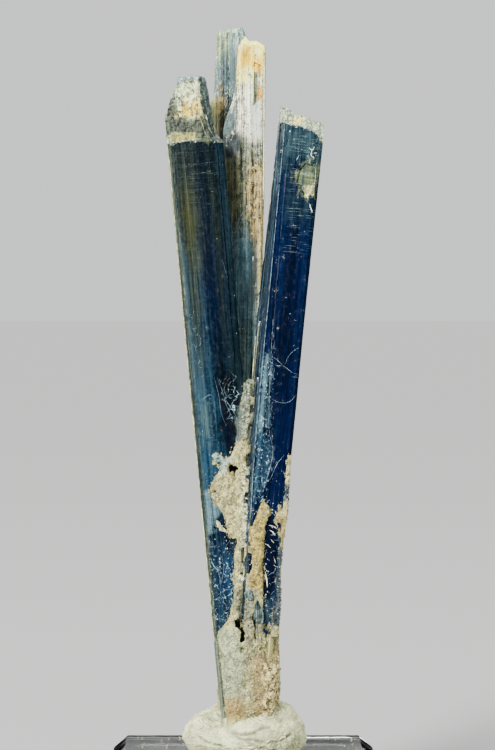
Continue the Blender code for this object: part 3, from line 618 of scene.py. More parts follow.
def diced(node, matrix, across, along, through):
    """A node's mesh in its blade's own frame, cut into a grid of small faces."""
    shape = cad_copy(node, matrix.inverted(), FLAT)
    for axis, places in ((2, along), (0, across), (1, through)):
        normal = Vector((axis == 0, axis == 1, axis == 2))
        for place in places:
            bmesh.ops.bisect_plane(shape, geom=[*shape.verts, *shape.edges, *shape.faces],
                                   dist=CUT_SNAP, plane_co=normal * place, plane_no=normal)
    bmesh.ops.remove_doubles(shape, verts=shape.verts, dist=CUT_WELD)
    return shape


def edge_gaps(node, matrix, points):
    """How far each point of a blade is from its nearest sharp edge, up to EDGE_REACH."""
    shape = cad_copy(node, matrix.inverted(), FLAT)
    places = []
    for edge in shape.edges:
        if edge.calc_face_angle(0.0) > SHARP:
            start, end = (vert.co for vert in edge.verts)
            steps = math.ceil(edge.calc_length() / EDGE_STEP)
            places += [start.lerp(end, i / steps) for i in range(steps + 1)]
    shape.free()
    return np.minimum(nearest_gaps(points, places), EDGE_REACH)


def blade_crystal(node, crust, material):
    """A blade with striations along it, nicked edges and a rough broken end."""
    blade = BLADES[node]
    matrix = stand(blade)
    seed, relief = blade["seed"], blade["relief"]
    across, depths = strips(seed, *blade["strips"])
    along = [*np.arange(0.0, blade["grit_above"], CUT), *np.arange(blade["grit_above"], CREST, FINE_CUT)]
    face = blade["thickness"] / 2
    through = np.arange(-face + CUT_THROUGH, face - 0.2, CUT_THROUGH)
    points, normals, faces = arrays(diced(node, matrix, across, along, through))
    flat = points[:, [0, 2]]
    wandering = bent(points, (1.6, 1.6, 3.2), (seed + 5, seed + 6), (0.5, 1.4))
    values = {name: inside(flat if name in STRAIGHT else wandering, zone[-1], *zone[:2])
              for name, zone in (blade["zones"] | blade["marks"]).items()}
    show_side = np.clip(0.5 - points[:, 1] / face, 0, 1)
    for name in SHOW_SIDE:
        if name in values:
            values[name] = values[name] * show_side
    values.setdefault("stone", np.zeros(len(points)))
    values["rim"] = edge_gaps(node, matrix, points)
    values["crust_gap"] = gaps(transformed(matrix, points) / MM, crust, CRUST_REACH)
    values["local"] = points.copy()

    smooth = 1 - values["stone"]
    waver = 0.6 + 0.4 * field(points, (2.0, 9.0, 26.0), seed)
    depth = relief * smooth * waver * np.interp(points[:, 0], across, depths)
    side = np.abs(normals[:, 0]) > SIDEWAYS
    groove = field(points, (9.0, 0.5, 30.0), seed + 1, 3)
    depth[side] = (relief * (0.5 + 0.9 * groove) * smooth)[side]
    depth += HOLLOW_DEPTH * np.clip(field(points, (1.5, 1.5, 7.0), seed + 2), 0, 1) * smooth
    nicks = np.clip(field(points, (0.8, 0.8, 1.2), seed + 3) - 0.12, 0, 1)
    depth += np.clip(1 - values["rim"] / NICK_REACH, 0, 1) * smooth * nicks * NICK_DEPTH
    grit = field(points, (0.7, 0.7, 0.6), seed + 4, 3)
    depth += values["stone"] * (END_DEPTH + END_GRIT * grit)
    points = points - normals * depth[:, None]
    piece(node + "_crystal", transformed(matrix, points), faces, material,
          (node,), values, sharp=18)
    return tree_of(points, faces), matrix


# ------------------------------------------------------------------- lines and cracks on them
VEIN_HEIGHT = 0.06
VEIN_ROOT = 0.12  # how far a line's underside is sunk in the face
VEIN_SIDE = 0.03  # and its sides
BEFORE_BLADES = -20.0  # a place in y in front of every blade
VEIN_STEP = 0.35  # the usual length of a line's sections
RIDGE_STEP = 1.2  # and that of a ridge's
RIDGE_HEIGHT = 0.05


def smooth_path(path, spacing):
    """Points at even steps on a smooth curve through a path's points."""
    points = [np.array(point, dtype=float) for point in path]
    ends = [2 * points[0] - points[1], *points, 2 * points[-1] - points[-2]]
    found = []
    for a, b, c, d in zip(ends, ends[1:], ends[2:], ends[3:]):
        steps = max(1, round(np.linalg.norm(c - b) / spacing))
        for step in range(steps):
            t = step / steps
            found.append(0.5 * (2 * b + (c - a) * t + (2 * a - 5 * b + 4 * c - d) * t * t
                                + (3 * b - a - 3 * c + d) * t ** 3))
    return [*found, points[-1]]


def prism_faces(rings, sides):
    """Faces round and at the ends of a tube made of rings of points."""
    faces = []
    for level in range(rings - 1):
        for i in range(sides):
            a, b = level * sides + i, level * sides + (i + 1) % sides
            faces.append((a, b, b + sides, a + sides))
    last = (rings - 1) * sides
    return [*faces, tuple(range(sides))[::-1], tuple(range(last, last + sides))]


def vein(tree, path, width, spacing=VEIN_STEP, height=VEIN_HEIGHT, taper=True):
    """A thin raised line on a blade's front, as (points, faces), or None if it misses the blade."""
    places = smooth_path(path, spacing)
    rings = []
    for i, place in enumerate(places):
        hit = tree.ray_cast(Vector((place[0], BEFORE_BLADES, place[1])), Vector((0, 1, 0)))[0]
        if hit is None:
            continue
        before, after = places[max(0, i - 1)], places[min(len(places) - 1, i + 1)]
        along = (after - before) / max(1e-6, np.linalg.norm(after - before))
        share = i / (len(places) - 1)
        half = width / 2 * (max(0.25, math.sin(math.pi * share) ** 0.6) if taper else 1.0)
        x, y, z = hit
        rings.append([(x - along[1] * half, y + VEIN_SIDE, z + along[0] * half),
                      (x, y - height, z),
                      (x + along[1] * half, y + VEIN_SIDE, z - along[0] * half),
                      (x, y + VEIN_ROOT, z)])
    if len(rings) < 2:
        return None
    return [point for ring in rings for point in ring], prism_faces(len(rings), 4)


def ridge(path, width):
    """A long unbroken line along a blade, thin enough to read as a lit ridge."""
    return path, width, RIDGE_STEP, RIDGE_HEIGHT, False


SCRATCH_PARTS = 4  # the straight parts that a scratch is drawn by
SCRATCH_SPILL = 0.3  # how far a scratch may run out of its region


def scratches(seed, region, count, length, lean, spread, bend, width):
    """Random curved lines, as (path, width), in a region (x low, x high, z low, z high).

    lean is their usual angle from the blade's length in degrees, spread how far it varies, and
    bend how much a path turns over its length, in degrees.
    """
    draw = random.Random(seed)
    x_low, x_high, z_low, z_high = region
    found = []
    for _ in range(count):
        x, z = draw.uniform(x_low, x_high), draw.uniform(z_low, z_high)
        angle = math.radians(lean + draw.uniform(-spread, spread))
        turn = math.radians(draw.uniform(-bend, bend)) / SCRATCH_PARTS
        run = draw.uniform(*length) / SCRATCH_PARTS
        path = [(x, z)]
        for _ in range(SCRATCH_PARTS):
            x, z = x + math.sin(angle) * run, z + math.cos(angle) * run
            angle += turn
            path.append((x, z))
        if all(x_low - SCRATCH_SPILL < px < x_high + SCRATCH_SPILL for px, _ in path):
            found.append((path, width))
    return found


LEFT_CRACKS = [
    ([(-3.2, 71.2), (-2.1, 72), (-1, 72.2)], 0.16),
    ([(0.4, 75.6), (1.2, 73), (1.8, 69.8), (3.2, 66.5)], 0.12),
    ([(-0.3, 76.5), (0.4, 72), (0.6, 68.5), (1.2, 66.2), (2.2, 65)], 0.1),
    ([(1.4, 71.6), (2.6, 69.4), (4.1, 66.2)], 0.11),
    ([(2.2, 74.4), (1.6, 73), (2.2, 71.6), (3.4, 71.2)], 0.12),
    ([(2.2, 68.6), (3.2, 70.2), (4.4, 71.4)], 0.1),
    ([(3.1, 77.2), (3.9, 75.8), (4.6, 75.4)], 0.1),
    ([(3.6, 100.2), (4.1, 97.6), (4.4, 96)], 0.08),
    ([(-4.2, 88.9), (-3.5, 88.4)], 0.12),
    ([(-4.2, 86.6), (-3.6, 86.2), (-3.2, 86.4)], 0.13),
    ([(-2.6, 84.9), (-2.3, 84), (-2.5, 83), (-2.9, 82.4)], 0.09),
    ([(-4, 83.8), (-3.5, 81.6), (-3.8, 80.2)], 0.08),
    ([(-3.4, 80.6), (-3, 79.4), (-3.6, 78.6)], 0.1),
    ([(-2.1, 38.8), (-1.6, 36), (-2.2, 33.4), (-3, 31)], 0.12),
    ([(-3.6, 30), (-1.8, 31), (-0.2, 31.2), (0.8, 32)], 0.11),
    ([(-4.1, 36.8), (-3, 35.2), (-2.4, 32.4)], 0.11),
]
# Painted highlights: cream lines on the lit edges of the facets and terraces of its broken top.
LEFT_EDGES = [
    ([(0.8, 132.4), (1.6, 129.8), (2.2, 127.3), (2.9, 125.6)], 0.14),
    ([(1.7, 138.2), (1.7, 134), (2, 130.7), (3, 128.2), (4.2, 125.8)], 0.16),
    ([(-4.3, 134.9), (-4, 136), (-2.1, 137.7), (1.1, 138.5)], 0.18),
    ([(-5.9, 131.4), (-4.6, 133.2), (-2.8, 133.9), (-1.2, 135.4), (1.5, 135.7)], 0.16),
    ([(-2.9, 131.1), (-1.4, 130.5), (0.6, 130.4), (1.8, 130.1)], 0.12),
    ([(0.3, 125.4), (0.3, 127.2), (-4.6, 127.3)], 0.12),
    ([(-5.6, 125.5), (-2, 125.7), (1, 125.8), (3.6, 125.4)], 0.14),
]
# Dark growth lines across its front, below the broken top.
LEFT_DARK_LINES = [
    ([(-0.6, 124.2), (1.2, 124.3), (3.6, 123.8)], 0.12),
    ([(-4.6, 123.4), (-2.6, 123.6), (-0.2, 123.4), (1.6, 123.2), (3.8, 123.2)], 0.14),
    ([(-4.4, 122.3), (-2, 122.4), (-0.6, 122.2)], 0.1),
    ([(-0.4, 122.7), (1.4, 122.3), (3.4, 122.5)], 0.12),
    ([(-1, 121.8), (1, 121.6), (3.2, 121.9)], 0.12),
    ([(-4.2, 121.3), (-2.4, 121.2), (-0.8, 121.1), (0.8, 120.9)], 0.1),
    ([(0.2, 120.3), (1.6, 120.1), (3, 120.4)], 0.1),
    ([(-3, 119.6), (-1, 119.4), (1.4, 119.3)], 0.08),
]
# Small lobes beside the crust's patch on it.
LEFT_LOBES = [
    ([(-2.3, 45.8), (-1.9, 44.7), (-1.3, 43.9), (-0.4, 43.2)], 1.4),
    ([(-2.6, 44.6), (-1.8, 44.4), (-1, 44.6)], 0.6),
]
RIGHT_CRACKS = [
    ([(-2.3, 79.4), (-0.6, 78.6), (1.1, 78.5), (2.9, 77.4), (4.2, 77.2)], 0.11),
    ([(-2.1, 80.6), (-0.6, 79.8), (1.1, 78.5)], 0.13),
    ([(1.1, 78.5), (2.1, 81.1), (4, 82.9)], 0.09),
    ([(2.9, 76.6), (4.3, 76.4)], 0.1),
    ([(-1.9, 72.2), (-0.4, 71.3), (1.4, 70.9), (3.1, 71.4), (4.3, 73)], 0.08),
    ([(-1.6, 74), (-0.9, 72.8)], 0.08),
    ([(2.9, 60.2), (1.6, 58.1), (1, 56.4), (0.4, 54.6)], 0.13),
    ([(2.4, 59.2), (1.2, 58.3)], 0.1),
    ([(1.4, 125), (3.2, 125.2), (3.8, 126.8)], 0.12),
    ([(-0.4, 121.2), (0.2, 122.4)], 0.18),
    ([(2.7, 122.4), (2.4, 120.9), (2.9, 120.6)], 0.2),
    ([(2.4, 122.8), (3.5, 123)], 0.16),
    ([(3.4, 112.6), (3.7, 111.2)], 0.2),
    ([(4, 111.4), (3.6, 110.6)], 0.12),
    ([(-2.1, 125.7), (1.7, 125.5)], 0.1),
    ([(-1.9, 123.9), (2.5, 123.3)], 0.12),
    ([(-0.6, 124.6), (2.2, 124.4)], 0.07),
    ([(-1.2, 119.6), (0.6, 119.4)], 0.07),
]
# Bright flakes and needles that stand on it.
RIGHT_FLAKES = [
    ([(2, 124.2), (2.7, 123.6), (3.2, 124.5)], 0.22),
    ([(2.7, 123.6), (2.6, 122.6), (3.2, 122)], 0.24),
    ([(3.1, 123), (3.7, 123.2)], 0.18),
    ([(3.2, 112.6), (3.6, 111.6), (4, 110.8)], 0.24),
    ([(1, 45.2), (2, 45.1), (2.9, 44.6)], 0.22),
    ([(1.3, 44.2), (2, 43.9), (2.6, 43.2)], 0.26),
    ([(0.5, 41.3), (1.2, 41.1), (1.9, 40.5)], 0.2),
    ([(2.6, 46), (3, 44.8)], 0.2),
    ([(1.7, 42.4), (2.5, 41.6)], 0.16),
    ([(1.3, 35.4), (1.7, 33.8), (2, 32.2)], 0.3),
    ([(2.9, 38.4), (3.2, 37.4)], 0.16),
]

# Foot, lean in degrees and thickness stand each blade's own frame where the model has it. relief is
# how deep its striations are and strips how narrow and wide; above grit_above it is cut finely for
# its broken end. look is how its material differs from plain kyanite, and veins are its pieces of
# raised lines: the ending of the piece's name, its material, and lines as (path, width).
BLADES = {
    "left_blade": dict(
        foot=(0.65, -1.3, 17.0), lean_right=-4.9, lean_front=0.2, thickness=4.6, slot="blue_kyanite",
        seed=1, relief=0.07, strips=(0.3, 0.7), grit_above=123.6, zones=LEFT_ZONES, marks=LEFT_MARKS,
        look=dict(streaks=[(2, 7, 12), (4, 14, 22), (8, 24, 36), (24, 46, 56)], lines=(62, 86, 92)),
        veins=[
            ("cracks", "crack_white", LEFT_CRACKS
             + scratches(31, (1.2, 4.4, 64, 76), 15, (0.6, 2.2), 25, 70, 90, 0.08)
             + scratches(32, (-4.6, 1, 22.5, 41), 64, (0.4, 1.8), 15, 75, 120, 0.08)
             + scratches(33, (-4.6, -2.2, 76, 90), 30, (0.2, 0.7), 10, 60, 40, 0.08)
             + scratches(34, (-4.4, -0.6, 48, 74), 60, (0.2, 0.8), 20, 80, 60, 0.06)
             + scratches(35, (-4.2, 4.4, 112, 121), 16, (0.8, 2.6), 90, 4, 8, 0.05)),
            # Painted highlights: cream lines on the lit edges of the top, and a lit ridge down the left
            # edge.
            ("edges", "edge_cream", LEFT_EDGES
             + [ridge([(-5.68, 122), (-5.55, 88), (-5.35, 63), (-5.1, 38), (-4.95, 20)], 0.24)]),
            ("dark_lines", "dark_line", LEFT_DARK_LINES),
            ("flakes", "edge_cream", LEFT_LOBES)]),
    "right_blade": dict(
        foot=(0.1, -6.1, 17.0), lean_right=5.35, lean_front=1.2, thickness=4.4, slot="blue_kyanite",
        seed=2, relief=0.06, strips=(0.3, 0.7), grit_above=124.5, zones=RIGHT_ZONES, marks=RIGHT_MARKS,
        look=dict(streaks=[(1, 6, 20), (2, 11, 32), (3, 17, 46), (10, 32, 60)], lines=(72, 106, 122),
                  rung_light=0.2),
        veins=[
            ("cracks", "crack_white", RIGHT_CRACKS
             + scratches(43, (-3, 0.2, 50, 80), 90, (0.2, 0.9), 30, 90, 60, 0.08)
             + scratches(45, (-1.4, 3.8, 98, 113), 9, (1.2, 3.6), 90, 5, 12, 0.05)
             + scratches(44, (0.8, 4.2, 28, 50), 30, (0.4, 1.6), 60, 60, 90, 0.08)
             # Painted highlights: pale lines on two lit ridges.
             + [ridge([(-3.35, 127.5), (-3.35, 95), (-3.25, 60), (-2.25, 34)], 0.11),
                ridge([(-2.05, 88), (-1.75, 80), (-0.85, 66), (0.5, 60), (-0.75, 52)], 0.1)]),
            # Painted highlights: a cream ridge down the left edge, and a cream line round the edge of the
            # patch high up.
            ("rim", "edge_cream", [
                ridge([(-5.25, 84), (-5.1, 72), (-4.95, 60), (-3.85, 34), (-3.3, 22)], 0.24),
                ([(3.4, 120.8), (3.8, 119.6), (3.9, 117.6), (3.6, 115.6), (3.1, 114.3)], 0.2)]),
            ("flakes", "rim_cream", RIGHT_FLAKES)]),
    "pale_blade": dict(
        foot=(-1.0, 3.3, 18.0), lean_right=0.6, lean_front=-0.5, thickness=4.0, slot="pale_kyanite",
        seed=3, relief=0.20, strips=(0.25, 0.6), grit_above=126.0, zones=PALE_ZONES, marks=PALE_MARKS,
        look=dict(streaks=[(74, 82, 76), (160, 166, 148), (238, 238, 202), (255, 253, 224)],
                  fibre=1.2, contrast=1.8, cloudy=0.8, grainy=0.7, rough=(0.3, 0.55),
                  marks=(238, 240, 220), lines=(62, 68, 62)),
        veins=[
            ("cracks", "crack_white", [
                ([(0.3, 110.1), (-0.8, 108), (-1.6, 105.8)], 0.1),
                ([(-2.8, 102), (-2.3, 99.7), (-1.5, 101.4), (-0.7, 102.9)], 0.1),
                ([(-1, 106.4), (-0.2, 104.6)], 0.07)]
             + scratches(51, (-2.4, 3, 84, 113), 44, (0.4, 2.2), 18, 26, 20, 0.05)),
            # Painted highlight: a cream ridge down the right edge.
            ("rim", "rim_cream", [ridge([(3.95, 141), (4.02, 128), (4.1, 112)], 0.3)])]),
    "back_blade": dict(
        foot=(0.1, 7.0, 18.0), lean_right=-0.9, lean_front=-0.9, thickness=2.8, slot="grey_kyanite",
        seed=4, relief=0.14, strips=(0.3, 0.6), grit_above=132.0, zones=BACK_ZONES, marks=BACK_MARKS,
        look=dict(streaks=[(55, 74, 77), (85, 109, 107), (116, 140, 130), (168, 194, 174)],
                  fibre=1.2, contrast=1.3, cloudy=0.5, grainy=0.4, rough=(0.25, 0.5),
                  marks=(196, 210, 198), lines=(50, 70, 76)),
        veins=[
            ("cracks", "rim_cream",
             scratches(53, (-3.6, 1.6, 126, 148), 70, (0.5, 2.4), 12, 16, 20, 0.09))]),
}


def line_looks():
    """The materials of the raised lines, by name: a roughness, and colours that vary along them."""
    looks = {"dark_line": Look("dark_line", IOR=1.6, Roughness=0.3, Base_Color=tone((4, 9, 12)))}
    for name, size, roughness, low, high in (
            ("crack_white", (0.5, 0.5, 0.9), 0.35, (0.38, (40, 66, 84)), (0.62, (150, 176, 184))),
            ("edge_cream", (0.4, 0.4, 1.6), 0.4, (0.38, (84, 96, 80)), (0.6, (206, 204, 152))),
            ("rim_cream", (0.4, 0.4, 2.4), 0.4, (0.36, (150, 140, 96)), (0.54, (252, 250, 214)))):
        look = Look(name, IOR=1.6, Roughness=roughness)
        glint = look.grain(size, 3.0, 0.7)
        look.feed("Base Color", look.ramp(glint, low, high))
        if name == "edge_cream":
            look.feed("Roughness", look.step(glint, 0.3, 0.7, 0.5, 0.3))
        looks[name] = look
    return {name: look.material for name, look in looks.items()}


def dressed_blade(node, crust, looks):
    """A blade's crystal and its pieces of raised lines."""
    blade = BLADES[node]
    material = kyanite(node.replace("blade", "kyanite"), blade["zones"], **blade["look"])
    tree, matrix = blade_crystal(node, crust, material)
    for ending, look, lines in blade["veins"]:
        points, faces = joined([part for part in (vein(tree, *line) for line in lines) if part])
        piece(f"{node}_{ending}", transformed(matrix, points), faces, looks[look],
              values={"local": points}, flat=True)
    return material


def clean_values(points, **zones):
    """Values for a piece of kyanite that is clear of the crust and of the edges' pale wear and painted
    highlight.
    """
    values = {"crust_gap": 9.0, "rim": 1.0, **zones}
    return {"local": points, **{name: np.full(len(points), value) for name, value in values.items()}}


SPLINTER = [(-3.7, 134.2), (-5.0, 133.0), (-5.1, 132.0), (-4.6, 128.4), (-3.7, 126.0)]
SPLINTER_DEPTH = (-0.9, 0.3)


def splinter(material):
    """A splinter with chipped edges on the back blade's left edge."""
    shape = bmesh.new()
    front, back = ([shape.verts.new((x, y, z)) for x, z in SPLINTER] for y in SPLINTER_DEPTH)
    shape.faces.new(front)
    shape.faces.new(back[::-1])
    for i in range(len(front)):
        j = (i + 1) % len(front)
        shape.faces.new((front[i], back[i], back[j], front[j]))
    bmesh.ops.recalc_face_normals(shape, faces=shape.faces)
    bmesh.ops.bevel(shape, geom=list(shape.edges), offset=0.12, segments=1, profile=0.5, affect="EDGES")
    points, _, faces = arrays(shape)
    matrix = stand(BLADES["back_blade"])
    piece("back_blade_splinter", transformed(matrix, points), faces, material,
          values=clean_values(points, olive=1.0), flat=True)


# Small broken crystals in the crust: place in x and z, (width, depth, length), and in degrees the
# lean to the right and the turn about the length.
SHARDS = [((-0.3, 47.8), (2.0, 1.3, 2.4), 28, 24), ((1.2, 47.5), (1.8, 1.2, 2.0), -24, -30),
          ((0.4, 46.3), (1.6, 1.2, 1.5), 50, 10), ((3.1, 43.9), (1.8, 1.1, 3.8), -4, -12)]
SHARD_CORNERS = 16
SHARD_HALF = 0.62  # a corner's place, as a share of the shard's size
BEFORE_CRUST = -30.0  # a place in y in front of the crust


def shards(crust):
    look = kyanite("shard_kyanite", {}, [(16, 24, 26), (44, 56, 56), (72, 86, 82), (140, 156, 146)],
                   contrast=1.6, cloudy=0.6, rough=(0.12, 0.3))
    draw = random.Random(61)
    parts = []
    for (x, z), (width, depth, length), lean, turn in SHARDS:
        y = crust.ray_cast(Vector((x, BEFORE_CRUST, z)), Vector((0, 1, 0)))[0].y
        shape = bmesh.new()
        for _ in range(SHARD_CORNERS):
            corner = Vector([draw.uniform(-1, 1) for _ in range(3)])
            corner *= SHARD_HALF / max(abs(value) for value in corner)
            shape.verts.new((corner.x * width, corner.y * depth, corner.z * length))
        bmesh.ops.convex_hull(shape, input=shape.verts)
        shape.transform(Matrix.Translation((x, y + depth * 0.1, z))
                        @ Matrix.Rotation(math.radians(lean), 4, "Y")
                        @ Matrix.Rotation(math.radians(turn), 4, "Z"))
        points, _, faces = arrays(shape)
        parts.append((points, faces))
    points, faces = joined(parts)
    piece("crust_shards", points * MM, faces, look, values=clean_values(points), flat=True)


# ------------------------------------------------------------------------------ quartz crust
CRUST_VOXEL = 0.27
BLADE_REACH = 0.62  # crust nearer than this to a blade is grown onto it
SINK = 0.12
GRAIN_SIZE = 0.62

# Zones of the crust's colour: softness, dark colour, light colour, and outline in the world's x
# and z.
CRUST_ZONES = {
    "glassy": (1, (2, 8, 20), (52, 68, 76), [
        (5.6, 57.6), (8.6, 58.2), (8.2, 41.6), (7.4, 40.2), (5.2, 41)]),
    "glassy_rim": (0.9, (3, 10, 22), (60, 76, 82), [(7.4, 70.4), (10, 70.4), (10, 66.8), (7.4, 66.8)]),
    "seam": (1, (44, 54, 46), (150, 158, 124), [(-1.6, 93), (2.4, 93), (1.4, 79), (-0.4, 80), (-1.6, 82)]),
    "seam_glass": (0.8, (12, 22, 28), (86, 104, 104), [
        (-3, 89), (-0.4, 89), (-0.5, 83), (-0.9, 79.4), (-3, 79.4)]),
    "tan": (1.3, (84, 78, 44), (168, 148, 70), [(1, 66.8), (5, 67.2), (4.8, 49), (0.8, 47.6)]),
    "tan_edge": (2.2, (92, 82, 46), (170, 150, 78), [(6.6, 63.2), (9.6, 63.6), (9.2, 57.6), (6.6, 59)]),
    "tan_spot": (1.8, (100, 88, 54), (190, 168, 92), [(-8.4, 72), (-6.4, 72), (-6.2, 68.6), (-8.4, 68.4)]),
    "frost": (2, (54, 74, 80), (160, 190, 172), [
        (-9, 80), (-2.6, 79.5), (-3.4, 73.5), (-6, 71.8), (-9, 72)]),
    "white": (0.9, (50, 60, 48), (232, 232, 180), [(-0.8, 49), (0.8, 49), (1.3, 74), (0, 74)]),
    "grey": (1.6, (92, 98, 76), (159, 166, 122), [
        (-5.1, 39.5), (-0.6, 40), (0.4, 34), (0.4, 26), (-4.8, 25.2)]),
    "shade": (1.6, (54, 54, 40), (140, 142, 104), [
        (-2.4, 48.5), (2.2, 48.5), (5.6, 43), (5.2, 39), (0.6, 39.6), (-1.6, 43.6)]),
    "pink": (2, (84, 74, 48), (150, 130, 76), [
        (1.6, 34.6), (6.9, 35.4), (7.4, 30), (6.2, 22), (4.4, 20), (1.8, 21), (2.2, 28)]),
    "orange": (1.4, (98, 86, 50), (158, 132, 68), [(-3.8, 25.4), (0, 25.8), (0.6, 21.6), (-3.8, 21)]),
    # Here the light colour is partly the grains' own pale tone and partly a painted sparkle.
    "grains_and_sparkle": (1.8, (52, 46, 30), (226, 210, 142), [(5, 33), (8.6, 34), (8.6, 21), (4.6, 21)]),
}
# Dark streaks of kyanite show through the crust here, and gaps open in it, painted black as their shade.
SPECKLED = [
    [(0.4, 40), (6, 40), (6.3, 33.6), (1.4, 31.6), (1.2, 24), (-0.2, 24)],
    [(-2.6, 93), (2.6, 93), (1.4, 78), (-2.2, 80)],
]
CRUST_GAPS = [
    [(-2.8, 74.2), (-1.4, 74), (-1.3, 72.2), (-2.6, 72.2)],
    [(-1.9, 42), (-0.6, 42.3), (-0.4, 40.6), (-1.5, 40.2)],
    [(-0.7, 40.6), (0.1, 40.4), (0.4, 37.6), (-0.2, 37.4)],
    [(2, 44.4), (2.5, 44.2), (2.6, 39), (2.3, 37)],
    [(4.6, 41), (5.3, 40.6), (5.2, 37.8), (4.7, 37.6)],
]


def quartz_material():
    base_gloss = 0.35
    look = Look("sugary_quartz", IOR=1.54, Specular_IOR_Level=base_gloss, Subsurface_Weight=0.12,
                Subsurface_Scale=0.0008, Subsurface_Radius=(1.0, 0.95, 0.8))
    speck = look.chance(0.34)
    mottle = look.grain((1.1, 1.1, 1.4), 5.0, 0.7)
    grit = look.grain(0.2, 2.0, 0.6)
    shade = look.total((speck, 0.45), (mottle, 2.2), (grit, 1.0), start=-1.32)
    light = look.step(shade, 0.15, 0.85)
    colour = look.mix(light, (96, 90, 62), (186, 180, 118))
    border = look.total((mottle, 2.2), (grit, 0.9), start=-1.55)
    for zone, (_, dark, bright, _) in CRUST_ZONES.items():
        share = look.step(look.total((border, 1.0), start=look.attribute(zone)), 0.35, 0.65)
        colour = look.mix(share, colour, look.mix(light, dark, bright))
    streak = look.grain((0.45, 0.45, 2.6), 4.0, 0.7)
    streaked = look.times(look.attribute("speckled"), look.step(streak, 0.5, 0.58))
    # Painted shade: small dark spots that stand for shaded hollows, with no hollows in the surface.
    pit_shade = look.step(look.grain((0.42, 0.42, 0.6), 4.0, 0.75), 0.42, 0.33)
    shaded_gap = look.step(look.attribute("shaded_gap"), 0.35, 0.6)
    look.feed("Base Color", look.layers(
        colour,
        (streaked, look.mix(grit, (22, 30, 28), (96, 104, 88))),
        (look.times(pit_shade, 0.25), (54, 52, 36)),
        # Painted glints: bright specks on the grains.
        (look.dots(0.4, 0.3, 0.16), (244, 238, 208)),
        # Painted shade: the gaps are black.
        (shaded_gap, (3, 4, 6))))
    # The gaps keep no reflection, so that their painted shade stays black.
    look.feed("Specular IOR Level", look.total((shaded_gap, -base_gloss), start=base_gloss))
    look.feed("Roughness", look.step(speck, 0.0, 1.0, 0.25, 0.75))
    look.bump(look.total((look.cells(0.3), -1.0), (mottle, 1.2), (grit, 0.5)), 0.14)
    return look.material


def crust_values(points):
    """Where each zone of the crust lies, where dark streaks show and where it gapes."""
    flat = bent(points, (1.2, 1.2, 2.0), (14, 15), (0.5, 0.9))
    front = np.clip(0.5 - points[:, 1] / 4, 0, 1)
    values = {name: inside(flat, outline, softness) * (1.0 if name == "pink" else front)
              for name, (softness, _, _, outline) in CRUST_ZONES.items()}
    streaked = np.max([inside(flat, part, 0.9) for part in SPECKLED], axis=0)
    values["speckled"] = streaked * front + 0.05
    values["shaded_gap"] = np.max([inside(flat, gap, 0.35) for gap in CRUST_GAPS], axis=0) * front
    values["local"] = points
    return values


def grown(points, trees):
    """Moves the points near a blade onto it and a little into it, and says which they are."""
    held = np.zeros(len(points), dtype=bool)
    for i, point in enumerate(points):
        for tree in trees:
            near, _, _, gap = tree.find_nearest(Vector(point), BLADE_REACH)
            if near is not None:
                way = near - Vector(point)
                points[i] = near + way.normalized() * SINK if gap > 1e-6 else near
                held[i] = True
                break
    return held


def facets(points, size, seed):
    """Heights of small tilted flats, as of grains that lie every way."""
    heights = []
    for point in points / size:
        near, places = noise.voronoi(Vector(point), distance_metric="DISTANCE")
        centre = places[0]
        tilt = noise.cell_vector(centre * 9.7 + Vector((seed, 0, 0)))
        heights.append((Vector(point) - centre).dot(tilt - Vector((0.5, 0.5, 0.5)))
                       - 0.35 * near[0])
    return np.array(heights)


# How far right the crust reaches, as heights and places in x. Beyond them it is pressed back.
RIGHT_LIMITS = [(20, 7.4), (26.8, 7.6), (33, 7.3), (39, 7.4), (45.7, 7.8), (52, 7.6), (58.3, 8.2),
                (64.6, 9.2), (70.9, 9.5), (80, 10.4)]
# The same for the seam, left of the right blade.
SEAM_LIMITS = [(70, 1.2), (73, 0.8), (77, 0.9), (80, 1.0), (87.7, 1.6), (94, 2.1)]
SEAM_WIDTH = 4.0  # the seam's crust is left of this
PRESSED = 0.8  # how much of what is beyond is pressed back
# The foot's crust is below FOOT_TOP: coarser on its right, finer on its left.
FOOT_TOP = 42
FACET_RISE = 0.42
LUMP_RISE = 0.14
GRIT_RISE = 0.10
GAP_DEPTH = 0.5


def quartz_crust(material):
    points, normals, faces = arrays(remeshed(cad_copy("quartz_crust"), CRUST_VOXEL))
    held = grown(points, [node_tree(node) for node in BLADES])
    values = crust_values(points)
    low = np.clip((FOOT_TOP - points[:, 2]) / 4, 0, 1)
    coarse = 0.45 + low * (0.55 * np.clip(points[:, 0] / 3, 0, 1) - 0.28)
    rise = (coarse * FACET_RISE * facets(points, GRAIN_SIZE, 3.0) + LUMP_RISE * field(points, 1.6, 6)
            + GRIT_RISE * field(points, 0.7, 8, 3) - GAP_DEPTH * values["shaded_gap"])
    rise[held] = 0.0
    points = points + normals * rise[:, None]
    limit = np.interp(points[:, 2], *zip(*RIGHT_LIMITS))
    seam = (points[:, 2] > SEAM_LIMITS[0][0]) & (points[:, 0] < SEAM_WIDTH) & (points[:, 1] < 0)
    limit[seam] = np.interp(points[seam, 2], *zip(*SEAM_LIMITS))
    over = np.where(held, 0.0, np.maximum(points[:, 0] - limit, 0))
    points[:, 0] -= PRESSED * over
    piece("quartz_crust_skin", points * MM, faces, material, ("quartz_crust",), values,
          flat=True)
    return points, normals, held


